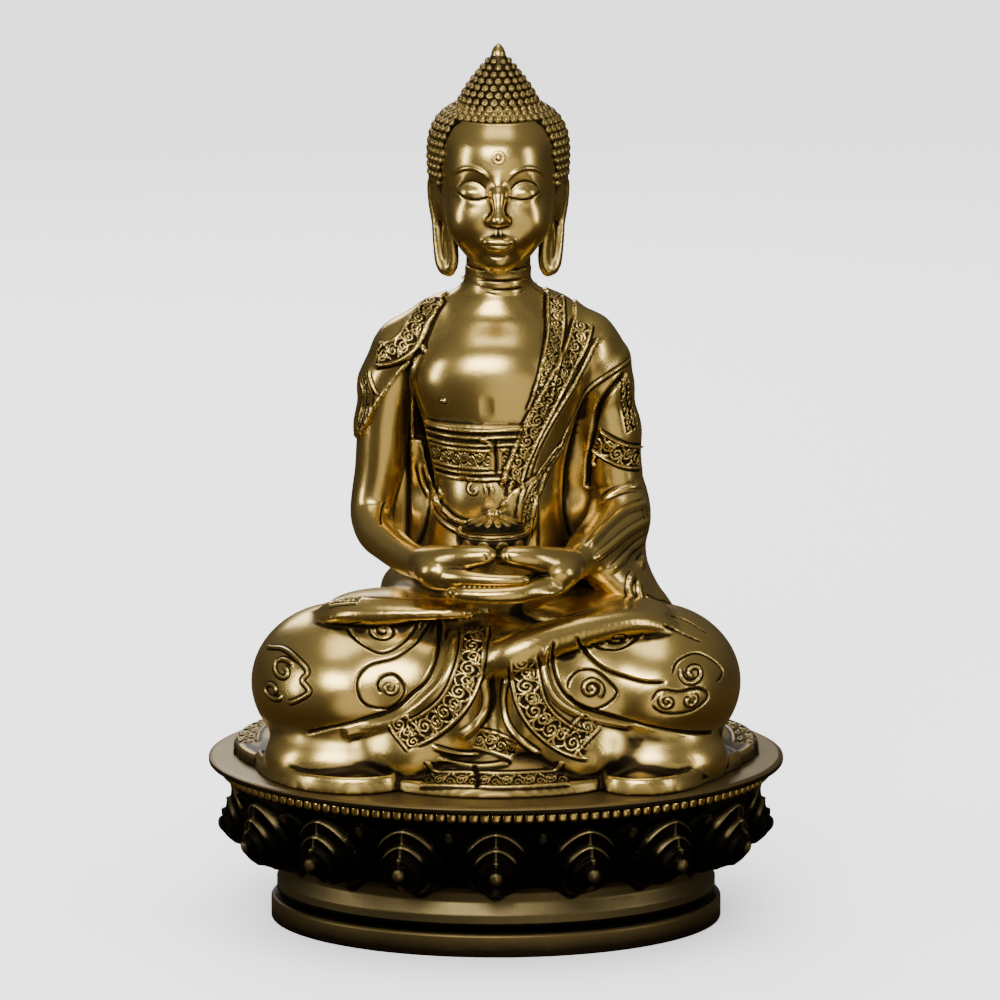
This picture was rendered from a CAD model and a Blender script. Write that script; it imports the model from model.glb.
import math

import bpy
import numpy as np
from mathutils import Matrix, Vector
from mathutils.bvhtree import BVHTree


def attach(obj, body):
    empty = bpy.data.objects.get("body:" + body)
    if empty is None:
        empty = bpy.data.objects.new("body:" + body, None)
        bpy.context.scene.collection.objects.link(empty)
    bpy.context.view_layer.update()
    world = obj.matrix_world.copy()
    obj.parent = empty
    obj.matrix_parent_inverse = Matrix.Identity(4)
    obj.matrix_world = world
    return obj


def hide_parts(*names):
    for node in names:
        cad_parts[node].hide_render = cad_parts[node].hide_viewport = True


# Lengths on the object are in mm, and become metres when a mesh is made. Camera and lights are in metres.
# The figure is modelled like its wax: lumps on a grid of distances, skinned, then chased with drawn lines.

MM = 0.001
FAR = 9.0  # distance that a grid starts with, more than any blend looks at
SEAT_TOP = 57.0

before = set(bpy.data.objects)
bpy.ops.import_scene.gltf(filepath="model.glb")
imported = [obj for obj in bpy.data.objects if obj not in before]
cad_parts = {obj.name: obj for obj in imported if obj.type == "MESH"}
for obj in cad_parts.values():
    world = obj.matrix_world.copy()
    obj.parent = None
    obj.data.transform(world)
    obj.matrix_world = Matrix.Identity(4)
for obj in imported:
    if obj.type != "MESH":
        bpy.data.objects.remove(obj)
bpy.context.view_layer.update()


# Curves and lines


def ease(x):
    """0 below 0, 1 above 1, and smooth between."""
    x = np.clip(x, 0, 1)
    return x * x * (3 - 2 * x)


def bell(x, width):
    """1 at 0, and near 0 from about twice the width on."""
    return np.exp(-((x / width) ** 2))


def unit(vectors):
    return vectors / np.maximum(np.linalg.norm(vectors, axis=1, keepdims=True), 1e-12)


def reaches(points):
    """How far along the line each point lies."""
    return np.concatenate([[0], np.cumsum(np.linalg.norm(np.diff(points, axis=0), axis=1))])


def smooth_line(points, step):
    """A smooth curve through the points, cut into even steps."""
    p = np.array(points, float)
    if len(p) > 2:
        q = np.vstack([2 * p[0] - p[1], p, 2 * p[-1] - p[-2]])
        t = np.linspace(0, 1, 14, endpoint=False)[:, None]
        spans = []
        for i in range(1, len(q) - 2):
            a, b, c, d = q[i - 1 : i + 3]
            bend = (2 * a - 5 * b + 4 * c - d) * t**2 + (3 * b - a - 3 * c + d) * t**3
            spans.append(0.5 * (2 * b + (c - a) * t + bend))
        p = np.vstack([*spans, p[-1:]])
    reach = reaches(p)
    count = max(3, int(round(reach[-1] / step)) + 1)
    at = np.linspace(0, reach[-1], count)
    return np.column_stack([np.interp(at, reach, p[:, k]) for k in range(p.shape[1])])


def spiral(centre, radius, turns=1.6, start=0.0, squash=1.0, inner=0.12):
    """A curl, from its outer end to its middle. Negative turns run clockwise."""
    share = np.linspace(0, 1, max(8, int(abs(turns) * 16)))
    angle = math.radians(start) + 2 * math.pi * turns * share
    r = radius * (1 - (1 - inner) * share**0.85)
    x = centre[0] + r * np.cos(angle)
    return np.column_stack([x, centre[1] + r * np.sin(angle) * squash])


# Shapes, each as (low corner, high corner, distance function)


def ellipsoid(centre, radii, tilt=0.0):
    """tilt turns it about the x axis, in degrees, bringing its top towards -y."""
    c, r = np.array(centre, float), np.array(radii, float)
    a = math.radians(tilt)
    reach = np.array([r[0], max(r[1:]), max(r[1:])]) if tilt else r

    def distance(x, y, z):
        u, v, w = x - c[0], y - c[1], z - c[2]
        if tilt:
            v, w = v * math.cos(a) + w * math.sin(a), w * math.cos(a) - v * math.sin(a)
        k0 = np.sqrt((u / r[0]) ** 2 + (v / r[1]) ** 2 + (w / r[2]) ** 2)
        k1 = np.sqrt((u / r[0] ** 2) ** 2 + (v / r[1] ** 2) ** 2 + (w / r[2] ** 2) ** 2)
        return k0 * (k0 - 1) / np.maximum(k1, 1e-6)

    return c - reach, c + reach, distance


def bone(start, end):
    """A round cone between two (x, y, z, radius)."""
    a, b = np.array(start, float), np.array(end, float)
    ab = b[:3] - a[:3]
    square = max(ab @ ab, 1e-9)

    def distance(x, y, z):
        u, v, w = x - a[0], y - a[1], z - a[2]
        t = np.clip((u * ab[0] + v * ab[1] + w * ab[2]) / square, 0, 1)
        gap = (u - t * ab[0]) ** 2 + (v - t * ab[1]) ** 2 + (w - t * ab[2]) ** 2
        return np.sqrt(gap) - (a[3] + t * (b[3] - a[3]))

    ends = np.array([a[:3] - a[3], a[:3] + a[3], b[:3] - b[3], b[:3] + b[3]])
    return ends.min(0), ends.max(0), distance


def column(rings, power=2.0):
    """A body through oval rings (z, half width, half depth, middle x, middle y)."""
    line = smooth_line(rings, 0.8)
    line = line[np.argsort(line[:, 0])]
    low_z, high_z = line[0, 0], line[-1, 0]
    rx, ry = line[:, 1].max(), line[:, 2].max()
    low = np.array([line[:, 3].min() - rx, line[:, 4].min() - ry, low_z])
    high = np.array([line[:, 3].max() + rx, line[:, 4].max() + ry, high_z])

    def distance(x, y, z):
        a, b, cx, cy = (np.interp(z, line[:, 0], line[:, k]) for k in (1, 2, 3, 4))
        u, v = np.abs(x - cx), np.abs(y - cy)
        k0 = ((u / a) ** power + (v / b) ** power) ** (1 / power)
        k1 = np.sqrt((u / a**2) ** 2 + (v / b**2) ** 2)
        side = np.where(k1 > 1e-5, k0 * (k0 - 1) / np.maximum(k1, 1e-5), -np.minimum(a, b))
        return np.maximum(side, np.maximum(low_z - z, z - high_z))

    return low, high, distance


def to_outline(outline, u, w):
    """Signed distance in a plane to a closed outline, below 0 inside it."""
    p = np.array(outline, float)
    best = np.full(u.shape, 1e9)
    inside = np.zeros(u.shape, bool)
    for (ax, az), (bx, bz) in zip(p, np.roll(p, -1, axis=0)):
        ex, ez = bx - ax, bz - az
        t = np.clip(((u - ax) * ex + (w - az) * ez) / max(ex * ex + ez * ez, 1e-9), 0, 1)
        best = np.minimum(best, (u - ax - t * ex) ** 2 + (w - az - t * ez) ** 2)
        if ez:
            inside ^= ((az <= w) != (bz <= w)) & (u < ax + (w - az) / ez * ex)
    return np.where(inside, -1, 1) * np.sqrt(best)


def front_area(outline, y_low=-999.0, y_high=999.0):
    """All that lies inside an outline drawn in the front view (x, z), between two depths."""

    def distance(x, y, z):
        u, w = np.broadcast_arrays(x[:, 0, :], z[0, :, :] + 0 * x[:, 0, :])
        flat = to_outline(outline, u, w)
        return np.maximum(flat[:, None, :], np.maximum(y_low - y, y - y_high))

    return distance


def spread(outline, lip=3.0, low=2.4, slope=0.3, rise=0.0, roll=1.5):
    """Cloth lying on the seat: an outline from above (x, y), a rolled lip round it and a rise inwards."""
    line = smooth_line([*outline, outline[0]], 2.0)[:-1]
    highest = SEAT_TOP + low + lip + 14 * slope + 256 * rise
    corners = np.array([[*line.min(0), SEAT_TOP - 3], [*line.max(0), highest]])

    def distance(x, y, z):
        u, v = np.broadcast_arrays(x[:, :, 0], y[:, :, 0] + 0 * x[:, :, 0])
        flat = to_outline(line, u, v)
        deep = np.maximum(-flat, 0)
        top = low + slope * np.minimum(deep, 14) + rise * np.minimum(deep, 16) ** 2
        top = top + lip * bell(deep - roll, roll)
        top = top * np.sqrt(1 - (1 - np.clip(deep / 1.5, 0, 1)) ** 2)
        return np.maximum(flat[:, :, None], (z - SEAT_TOP - top[:, :, None]) * (0.8 if rise == 0 else 0.5))

    return corners[0], corners[1], distance


def smooth_min(a, b, blend):
    """The lower of two distances, rounded over that width where they meet."""
    if blend <= 0:
        return np.minimum(a, b)
    h = np.maximum(blend - np.abs(a - b), 0) / blend
    return np.minimum(a, b) - h * h * (blend / 4)


class Clay:
    """A lump on a grid of distances. What is added or cut is added to or cut from its shadow grid as well,
    which is coarse and holds the whole figure."""

    def __init__(self, low, high, voxel, shadow=None):
        self.low, self.voxel, self.shadow = np.array(low, float), voxel, shadow
        counts = np.ceil((np.array(high, float) - self.low) / voxel).astype(int) + 1
        self.axes = [l + voxel * np.arange(n) for l, n in zip(self.low, counts)]
        self.field = np.full(counts, FAR, np.float32)

    def window(self, low, high, margin):
        """The part of the grid round a box, as slices and as x, y and z."""
        spans = []
        for axis, a, b in zip(self.axes, low, high):
            i = int(np.searchsorted(axis, a - margin))
            spans.append(slice(i, max(i + 1, int(np.searchsorted(axis, b + margin)))))
        x, y, z = (axis[s] for axis, s in zip(self.axes, spans))
        return tuple(spans), (x[:, None, None], y[None, :, None], z[None, None, :])

    def add(self, shape, blend=2.0):
        low, high, distance = shape
        where, xyz = self.window(low, high, max(blend, self.voxel) + 2 * self.voxel)
        here = self.field[where]
        if here.size:
            self.field[where] = smooth_min(here, distance(*xyz), blend)
        if self.shadow:
            self.shadow.add(shape, blend)

    def cut(self, shape, blend=1.0):
        low, high, distance = shape
        where, xyz = self.window(low, high, blend + 2 * self.voxel)
        here = self.field[where]
        if here.size:
            self.field[where] = -smooth_min(-here, distance(*xyz), blend)
        if self.shadow:
            self.shadow.cut(shape, blend)

    def limb(self, *points, blend=1.5):
        """Round cones from point to point (x, y, z, radius)."""
        for start, end in zip(points[:-1], points[1:]):
            self.add(bone(start, end), blend)

    def tube(self, points, radius, blend=1.0, step=3.0):
        """A round bar along a smooth curve; radius is a number, or one for each point."""
        radii = np.broadcast_to(radius, (len(points),))
        self.limb(*smooth_line(np.column_stack([np.array(points, float), radii]), step), blend=blend)

    def layer(self, thickness, area, blend=0.5):
        """Cloth over all that lies inside an area. Its thickness is a number, or one for each grid node."""
        x, y, z = self.axes
        edge = area(x[:, None, None], y[None, :, None], z[None, None, :])
        cloth = -smooth_min(-(self.field - thickness), -edge, blend)
        self.field[:] = np.minimum(self.field, cloth)

    def floor(self, z):
        self.field = np.maximum(self.field, z - self.axes[2][None, None, :])

    def skin(self):
        """The surface, as points and triangles."""
        f = self.field
        inside = f < 0
        cells_shape = tuple(n - 1 for n in f.shape)
        corners = sum(
            inside[i : i + cells_shape[0], j : j + cells_shape[1], k : k + cells_shape[2]].astype(np.int8)
            for i in (0, 1)
            for j in (0, 1)
            for k in (0, 1)
        )
        active = (corners > 0) & (corners < 8)
        cells = np.argwhere(active)
        index = np.full(cells_shape, -1, np.int32)
        index[active] = np.arange(len(cells))
        total, count = np.zeros((len(cells), 3)), np.zeros(len(cells))
        for axis in range(3):
            one = np.eye(3, dtype=int)[axis]
            for i in (0, 1):
                for j in (0, 1):
                    start = np.insert([i, j], axis, 0)
                    a, b = f[tuple((cells + start).T)], f[tuple((cells + start + one).T)]
                    crossed = (a < 0) != (b < 0)
                    share = np.where(crossed, a / np.where(crossed, a - b, 1), 0)
                    total += (start + share[:, None] * one) * crossed[:, None]
                    count += crossed
        points = self.low + self.voxel * (cells + total / count[:, None])
        quads = []
        for axis in range(3):
            one, u, v = (np.eye(3, dtype=int)[(axis + k) % 3] for k in range(3))
            near = [slice(None)] * 3
            far = [slice(None)] * 3
            near[axis], far[axis] = slice(0, -1), slice(1, None)
            edge = np.argwhere(inside[tuple(near)] != inside[tuple(far)])
            sound = np.ones(len(edge), bool)
            for k in range(3):
                if k != axis:
                    sound &= (edge[:, k] > 0) & (edge[:, k] < cells_shape[k])
            edge = edge[sound]
            four = [index[tuple(q.T)] for q in (edge, edge - u, edge - u - v, edge - v)]
            quad = np.column_stack(four)
            out = inside[tuple(edge.T)]
            quads.append(np.where(out[:, None], quad, quad[:, ::-1]))
        quads = np.vstack(quads)
        return Skin(points, np.vstack([quads[:, [0, 1, 2]], quads[:, [0, 2, 3]]]))

    def sample(self, points):
        """The grid's value at points, between its nodes."""
        at = (points - self.low) / self.voxel
        base = np.clip(np.floor(at).astype(int), 0, np.array(self.field.shape) - 2)
        t = np.clip(at - base, 0, 1)
        value = np.zeros(len(points))
        for i in (0, 1):
            for j in (0, 1):
                for k in (0, 1):
                    w = (t[:, 0] if i else 1 - t[:, 0]) * (t[:, 1] if j else 1 - t[:, 1])
                    w = w * (t[:, 2] if k else 1 - t[:, 2])
                    value += w * self.field[base[:, 0] + i, base[:, 1] + j, base[:, 2] + k]
        return value


def sum_at(index, values, count):
    return np.column_stack([np.bincount(index, values[:, k], count) for k in range(values.shape[1])])


class Skin:
    """A triangle mesh that is refined, smoothed and chased."""

    def __init__(self, points, faces):
        self.points, self.faces = points, faces
        self.strokes = []

    def edges(self):
        f = self.faces
        pairs = np.sort(np.vstack([f[:, [0, 1]], f[:, [1, 2]], f[:, [2, 0]]]), axis=1)
        key = pairs[:, 0].astype(np.int64) * len(self.points) + pairs[:, 1]
        keys, inverse = np.unique(key, return_inverse=True)
        unique = np.column_stack([keys // len(self.points), keys % len(self.points)])
        return unique, inverse.reshape(3, -1).T

    def normals(self):
        p, f = self.points, self.faces
        n = np.cross(p[f[:, 1]] - p[f[:, 0]], p[f[:, 2]] - p[f[:, 0]])
        total = sum(sum_at(f[:, k], n, len(p)) for k in range(3))
        return unit(total)

    def averaged(self, values, edges, passes):
        flat = values.ndim == 1
        v = values[:, None] if flat else values
        a, b = edges.T
        n = len(self.points)
        degree = np.maximum(np.bincount(a, minlength=n) + np.bincount(b, minlength=n), 1)[:, None]
        for _ in range(passes):
            v = (sum_at(a, v[b], n) + sum_at(b, v[a], n)) / degree
        return v[:, 0] if flat else v

    def smooth(self, passes, edges=None):
        edges = self.edges()[0] if edges is None else edges
        for _ in range(passes):
            for strength in (0.5, -0.53):
                self.points = self.points + strength * (self.averaged(self.points, edges, 1) - self.points)
        return self

    def refine(self, chosen, length):
        """Splits the longer edges whose two ends are chosen."""
        edges, of_face = self.edges()
        gap = self.points[edges[:, 0]] - self.points[edges[:, 1]]
        split = chosen[edges[:, 0]] & chosen[edges[:, 1]] & (np.einsum("ij,ij->i", gap, gap) > length**2)
        middle = np.full(len(edges), -1)
        middle[split] = len(self.points) + np.arange(split.sum())
        new = (self.points[edges[split, 0]] + self.points[edges[split, 1]]) / 2
        self.points = np.vstack([self.points, new])
        m = middle[of_face]
        f = self.faces
        cut = m >= 0
        number = cut.sum(1)
        turn = np.zeros(len(f), int)
        turn[number == 1] = np.argmax(cut[number == 1], axis=1)
        turn[number == 2] = (np.argmin(cut[number == 2], axis=1) + 1) % 3
        order = (turn[:, None] + np.arange(3)) % 3
        f, m = np.take_along_axis(f, order, 1), np.take_along_axis(m, order, 1)
        made = [f[number == 0]]
        one, two, three = (number == k for k in (1, 2, 3))
        (a, b, c), d = f[one].T, m[one, 0]
        made += [np.column_stack(t) for t in ((a, d, c), (d, b, c))]
        (a, b, c), d, e = f[two].T, m[two, 0], m[two, 1]
        made += [np.column_stack(t) for t in ((d, b, e), (a, d, e), (a, e, c))]
        (a, b, c), (d, e, g) = f[three].T, m[three].T
        made += [np.column_stack(t) for t in ((a, d, g), (d, b, e), (g, e, c), (d, e, g))]
        self.faces = np.vstack(made)

    def tree(self):
        return BVHTree.FromPolygons(self.points.tolist(), self.faces.tolist())

    def stroke(self, plan, tool, view="front"):
        """A line to be chased with a tool, drawn as (x, z) from the front or back, or (x, y) from the top."""
        self.strokes.append((plan, tool, view))

    def chase(self, fine=0.4, passes=3, flow=2):
        """Cuts all strokes into the surface. Returns the patina that they leave."""
        tree = self.tree()
        laid = []
        for plan, tool, view in self.strokes:
            laid += [(run, tool) for run in lay(tree, smooth_line(plan, STROKE_STEP), view)]
        for _ in range(passes):
            chosen = self.near(laid)
            if not chosen.any():
                break
            self.refine(chosen, fine * 1.4)
        edges = self.edges()[0]
        self.smooth(flow, edges)
        normals = unit(self.averaged(self.normals(), edges, 2))
        push, dark = np.zeros(len(self.points)), np.zeros(len(self.points))
        for (path, out), tool in laid:
            self.press(path, out, tool, push, dark)
        self.points = self.points + normals * push[:, None]
        return np.clip(dark, 0, 1)

    def near(self, laid):
        """The points close to a stroke, by a grid of 1 mm cells."""
        low = self.points.min(0) - 8
        counts = np.ceil(self.points.max(0) + 8 - low).astype(int) + 1
        cells = np.zeros(counts, bool)
        for (path, _), tool in laid:
            r = int(math.ceil(tool.reach))
            for i, j, k in np.unique((path - low).astype(int), axis=0):
                cells[
                    max(0, i - r) : i + r + 1, max(0, j - r) : j + r + 1, max(0, k - r) : k + r + 1,
                ] = True
        at = (self.points - low).astype(int)
        return cells[at[:, 0], at[:, 1], at[:, 2]]

    def press(self, path, out, tool, push, dark):
        """Adds what a tool does along a path to the points' push and patina."""
        reach = tool.reach
        low, high = path.min(0) - reach, path.max(0) + reach
        close = np.nonzero(((self.points > low) & (self.points < high)).all(1))[0]
        tangent = unit(np.gradient(path, axis=0))
        left = unit(np.cross(out, tangent))
        length = reaches(path)
        squares = (path**2).sum(1)
        for part in np.array_split(close, max(1, len(close) * len(path) // 4_000_000 + 1)):
            p = self.points[part]
            gap = squares[None, :] - 2 * p @ path.T
            nearest = gap.argmin(1)
            d = p - path[nearest]
            along = length[nearest] + np.einsum("ij,ij->i", d, tangent[nearest])
            across = np.einsum("ij,ij->i", d, left[nearest])
            off = np.abs(np.einsum("ij,ij->i", d, out[nearest]))
            over = np.maximum(np.maximum(-along, along - length[-1]), 0)
            height, patina = tool(along, across, over, length[-1])
            keep = (off < 2.5 + reach * 0.5) & (np.abs(across) <= reach)
            push[part] += np.where(keep, height, 0)
            dark[part] = np.maximum(dark[part], np.where(keep, patina, 0))


STROKE_STEP = 0.4
LARGEST_JUMP = 2.4  # the most that a line's depth may change from one step to the next
GLANCE = 0.22  # cosine of the flattest angle at which a surface takes a line
VIEWS = {  # where its rays start, and which way they run
    "front": (-400, (0, 1, 0)),
    "back": (400, (0, -1, 0)),
    "top": (600, (0, 0, -1)),
}


def lay(tree, plan, view):
    """A plan's line on the surface, as that view sees it: runs of points and of ways out from them.
    It breaks off where the surface is seen at a glance, and where its depth jumps."""
    start, way = VIEWS[view]
    way = Vector(way)
    runs, run = [], []
    for a, b in plan:
        origin = (a, b, start) if view == "top" else (a, start, b)
        hit, normal, _, _ = tree.ray_cast(Vector(origin), way)
        seen = hit is not None and normal.dot(way) < -GLANCE
        if run and (not seen or (hit - run[-1][0]).length > LARGEST_JUMP):
            runs.append(run)
            run = []
        if seen:
            run.append((hit, normal))
    made = []
    for run in [*runs, run]:
        if len(run) < min(6, len(plan)):
            continue
        points, out = np.array([h for h, _ in run]), np.array([n for _, n in run])
        for _ in range(3):
            points[1:-1] = (points[:-2] + 2 * points[1:-1] + points[2:]) / 4
            out[1:-1] = (out[:-2] + 2 * out[1:-1] + out[2:]) / 4
        made.append((points, unit(out)))
    return made


# Tools. Each gives the height and the patina at a point, from how far along and across the line it is.


def fades(along, length, taper):
    """A line's strength, which rises from 0 and falls to 0 over the taper at its ends."""
    if taper <= 0:
        return 1.0
    return ease(along / taper) * ease((length - along) / taper)


class Ridge:
    """A raised or, with a height below 0, sunk line."""

    def __init__(self, width, height, taper=3.0, dark=None, edge=0.0):
        self.half, self.height, self.taper, self.edge = width / 2, height, taper, edge
        self.dark = (0.9 if height < 0 else 0.0) if dark is None else dark
        self.reach = self.half + (0.8 if edge else 0.2)

    def __call__(self, along, across, over, length):
        d = np.sqrt(across**2 + over**2) / self.half
        bump = np.where(d < 1, (1 - np.minimum(d, 1) ** 2) ** 2, 0)
        f = fades(along, length, self.taper)
        side = self.edge * bell(d * self.half - self.half - 0.1, 0.4) if self.edge else 0
        return self.height * bump * f, np.maximum(self.dark * bump * f, side * f)


class Band:
    """An engraved border with a raised rim on both sides."""

    def __init__(
        self, width, pattern, depth=0.45, rim=0.5, raised=0.0, rims=(1, 1), taper=1.5, rim_width=1.1,
    ):
        self.half, self.pattern, self.depth, self.rim = width / 2, pattern, depth, rim
        self.raised, self.rims, self.taper, self.rim_half = raised, rims, taper, rim_width / 2
        self.reach = self.half + 1.6

    def __call__(self, along, across, over, length):
        inner = self.half - self.rim_half
        a = np.abs(across)
        ground = ease((inner - a) / 0.35)
        lines = self.pattern(along, across / inner) * ground
        side = np.where(across > 0, self.rims[0], self.rims[1])
        bump = side * np.maximum(0, 1 - ((a - self.half + 0.1) / self.rim_half) ** 2) ** 0.8
        plate = self.raised * ease((self.half + 0.5 - a) / 0.6)
        f = fades(along, length, self.taper) * (over <= 0)
        height = plate + self.rim * bump - self.depth * ground * (1 - lines)
        outside = 0.8 * bell(a - self.half - 0.75, 0.4) * np.minimum(side, 1)
        dark = np.maximum(ground * (0.95 - 1.05 * lines), outside)
        return height * f, np.clip(dark, 0, 1) * f


# Patterns, each a repeating tile of raised lines. across runs from -1 to 1.


class Tile:
    """One repeat of a pattern, kept as a map of heights."""

    def __init__(self, period, half_width, lines, line=0.34, cell=0.07):
        self.period, self.half, self.cell = period, half_width, cell
        s = np.arange(0, period, cell)
        t = np.arange(-half_width, half_width + cell, cell)
        gap = np.full((len(s), len(t)), 9.0)
        for drawn in lines:
            drawn = smooth_line(drawn, 0.2)
            for shift in (-period, 0, period):
                for (ax, ay), (bx, by) in zip(drawn[:-1], drawn[1:]):
                    ax, bx = ax + shift, bx + shift
                    if max(ax, bx) < -1 or min(ax, bx) > period + 1:
                        continue
                    ex, ey = bx - ax, by - ay
                    u, v = s[:, None] - ax, t[None, :] - ay
                    k = np.clip((u * ex + v * ey) / max(ex * ex + ey * ey, 1e-9), 0, 1)
                    gap = np.minimum(gap, np.hypot(u - k * ex, v - k * ey))
        self.map = ease(1.25 - gap / line)

    def __call__(self, along, across):
        s = (along % self.period) / self.cell
        t = np.clip((across * self.half + self.half) / self.cell, 0, self.map.shape[1] - 1.001)
        i, j = s.astype(int) % self.map.shape[0], t.astype(int)
        n = (i + 1) % self.map.shape[0]
        u, v = s - s.astype(int), t - j
        m = self.map
        low = m[i, j] * (1 - u) + m[n, j] * u
        return low * (1 - v) + (m[i, j + 1] * (1 - u) + m[n, j + 1] * u) * v


def scroll_tile(half, period=7.6, line=0.33):
    """Cloud scroll: two big curls a repeat, one up and one down, each with a second line along its back."""
    q = period / 4
    r = half * 0.74
    up = spiral((q, -half * 0.10), r, 1.45, -160, 1.0, 0.16)
    down = spiral((3 * q, half * 0.10), r, 1.45, 20, 1.0, 0.16)
    stem_up = [(-0.9 * q, -half * 0.95), (-0.35 * q, -half * 0.8), (0.1 * q, -half * 0.5), tuple(up[0])]
    stem_down = [(1.1 * q, half * 0.95), (1.65 * q, half * 0.8), (2.1 * q, half * 0.5), tuple(down[0])]
    backs = [
        [(0.05 * q, half * 0.1), (0.35 * q, half * 0.72), (1.0 * q, half * 0.98)],
        [(2.05 * q, -half * 0.1), (2.35 * q, -half * 0.72), (3.0 * q, -half * 0.98)],
        [(1.75 * q, half * 0.15), (2.0 * q, -half * 0.45), (1.9 * q, -half * 0.95)],
        [(3.75 * q, -half * 0.15), (4.0 * q, half * 0.45), (3.9 * q, half * 0.95)],
    ]
    return Tile(period, half, [up, down, stem_up, stem_down, *backs], line=line)


def grain_tile(period=6.6, half=3.0, line=0.32):
    """A ground of curls set close together, for cloth panels."""
    marks = np.random.default_rng(5)
    lines = []
    for i in range(3):
        for j in range(2):
            x, y = (i + 0.5 * j) * period / 3, (j - 0.5) * half
            lines.append(spiral((x, y), 1.22, 1.3 * (-1) ** (i + j), marks.uniform(0, 360)))
    return Tile(period, half, lines, line=line)


# Materials


def metal(name):
    material = bpy.data.materials.new(name)
    material.use_nodes = True
    nodes, links = material.node_tree.nodes, material.node_tree.links
    shader = nodes["Principled BSDF"]
    shader.inputs["Metallic"].default_value = 1.0
    return material, nodes, links, shader


def fill_ramp(ramp, stops):
    """Sets a colour ramp's stops, from (position, colour) pairs."""
    while len(ramp.elements) < len(stops):
        ramp.elements.new(0.5)
    for element, (at, colour) in zip(ramp.elements, stops):
        element.position, element.color = at, (*colour, 1)


def brass(name, bright, dark, shine, dull, bias, mottle=0.07):
    """Brass from bright to patina, by the mesh's own patina attribute and fine noise. shine and dull are the
    roughness of the two, bias is a patina that lies everywhere, and mottle is how uneven it is."""
    material, nodes, links, shader = metal(name)

    def node(kind, **values):
        made = nodes.new(kind)
        for key, value in values.items():
            if hasattr(made, key):
                setattr(made, key, value)
            else:
                made.inputs[key.replace("_", " ")].default_value = value
        return made

    where = node("ShaderNodeTexCoord")
    attribute = node("ShaderNodeAttribute", attribute_name="patina")
    clouds = node("ShaderNodeTexNoise", Scale=38.0, Detail=4.0, Roughness=0.6)
    specks = node("ShaderNodeTexNoise", Scale=420.0, Detail=3.0, Roughness=0.7)
    strokes = node("ShaderNodeTexNoise", Scale=1500.0, Detail=2.0, Roughness=0.6)
    for noise in (clouds, specks, strokes):
        links.new(where.outputs["Object"], noise.inputs["Vector"])

    def maths(operation, a, b=None, clamp=False):
        made = node("ShaderNodeMath", operation=operation, use_clamp=clamp)
        for socket, value in zip(made.inputs, (a, b)):
            if hasattr(value, "is_linked"):
                links.new(value, socket)
            elif value is not None:
                socket.default_value = value
        return made.outputs[0]

    uneven = maths("MULTIPLY", maths("SUBTRACT", clouds.outputs[0], 0.5), mottle * 2.2)
    fine = maths("MULTIPLY", maths("SUBTRACT", specks.outputs[0], 0.5), mottle)
    worn = maths("ADD", maths("ADD", attribute.outputs["Fac"], bias), maths("ADD", uneven, fine), True)

    colours = node("ShaderNodeValToRGB")
    middle = [0.5 * b + 0.5 * d for b, d in zip(bright, dark)]
    stops = [(0.0, bright), (0.38, middle), (0.82, dark), (1.0, [c * 0.5 for c in dark])]
    fill_ramp(colours.color_ramp, stops)
    links.new(worn, colours.inputs[0])
    links.new(colours.outputs[0], shader.inputs["Base Color"])

    rough = node("ShaderNodeMapRange", clamp=True)
    for key, value in (("From Min", 0.1), ("From Max", 0.8), ("To Min", shine), ("To Max", dull)):
        rough.inputs[key].default_value = value
    links.new(worn, rough.inputs[0])
    grain = maths("MULTIPLY", maths("SUBTRACT", specks.outputs[0], 0.5), 0.05)
    links.new(maths("ADD", rough.outputs[0], grain, True), shader.inputs["Roughness"])

    bump = node("ShaderNodeBump", Strength=0.05, Distance=0.0003)
    links.new(
        maths("ADD", strokes.outputs[0], maths("MULTIPLY", specks.outputs[0], 1.5)), bump.inputs["Height"],
    )
    links.new(bump.outputs[0], shader.inputs["Normal"])
    return material


def steel():
    material, nodes, links, shader = metal("brushed_steel")
    where, noise = nodes.new("ShaderNodeTexCoord"), nodes.new("ShaderNodeTexNoise")
    noise.inputs["Scale"].default_value = 900
    colour, rough = nodes.new("ShaderNodeValToRGB"), nodes.new("ShaderNodeMapRange")
    colour.color_ramp.elements[0].color = (0.30, 0.29, 0.28, 1)
    colour.color_ramp.elements[1].color = (0.50, 0.49, 0.47, 1)
    rough.inputs["To Min"].default_value, rough.inputs["To Max"].default_value = 0.28, 0.5
    links.new(where.outputs["Object"], noise.inputs["Vector"])
    links.new(noise.outputs[0], colour.inputs[0])
    links.new(noise.outputs[0], rough.inputs[0])
    links.new(colour.outputs[0], shader.inputs["Base Color"])
    links.new(rough.outputs[0], shader.inputs["Roughness"])
    return material


FIGURE = brass(
    "polished_brass", (0.60, 0.42, 0.125), (0.028, 0.018, 0.007), shine=0.25, dull=0.5, bias=0.07,
    mottle=0.05,
)
THRONE = brass("satin_brass", (0.27, 0.19, 0.07), (0.016, 0.011, 0.005), shine=0.30, dull=0.55, bias=0.30)
DARK = brass(
    "black_patina_brass", (0.40, 0.30, 0.12), (0.006, 0.005, 0.003), shine=0.25, dull=0.5, bias=0.02,
)
BOWL = brass("olive_brass", (0.52, 0.38, 0.13), (0.020, 0.014, 0.006), shine=0.24, dull=0.5, bias=0.05)
STEEL = steel()


# Pieces


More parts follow.
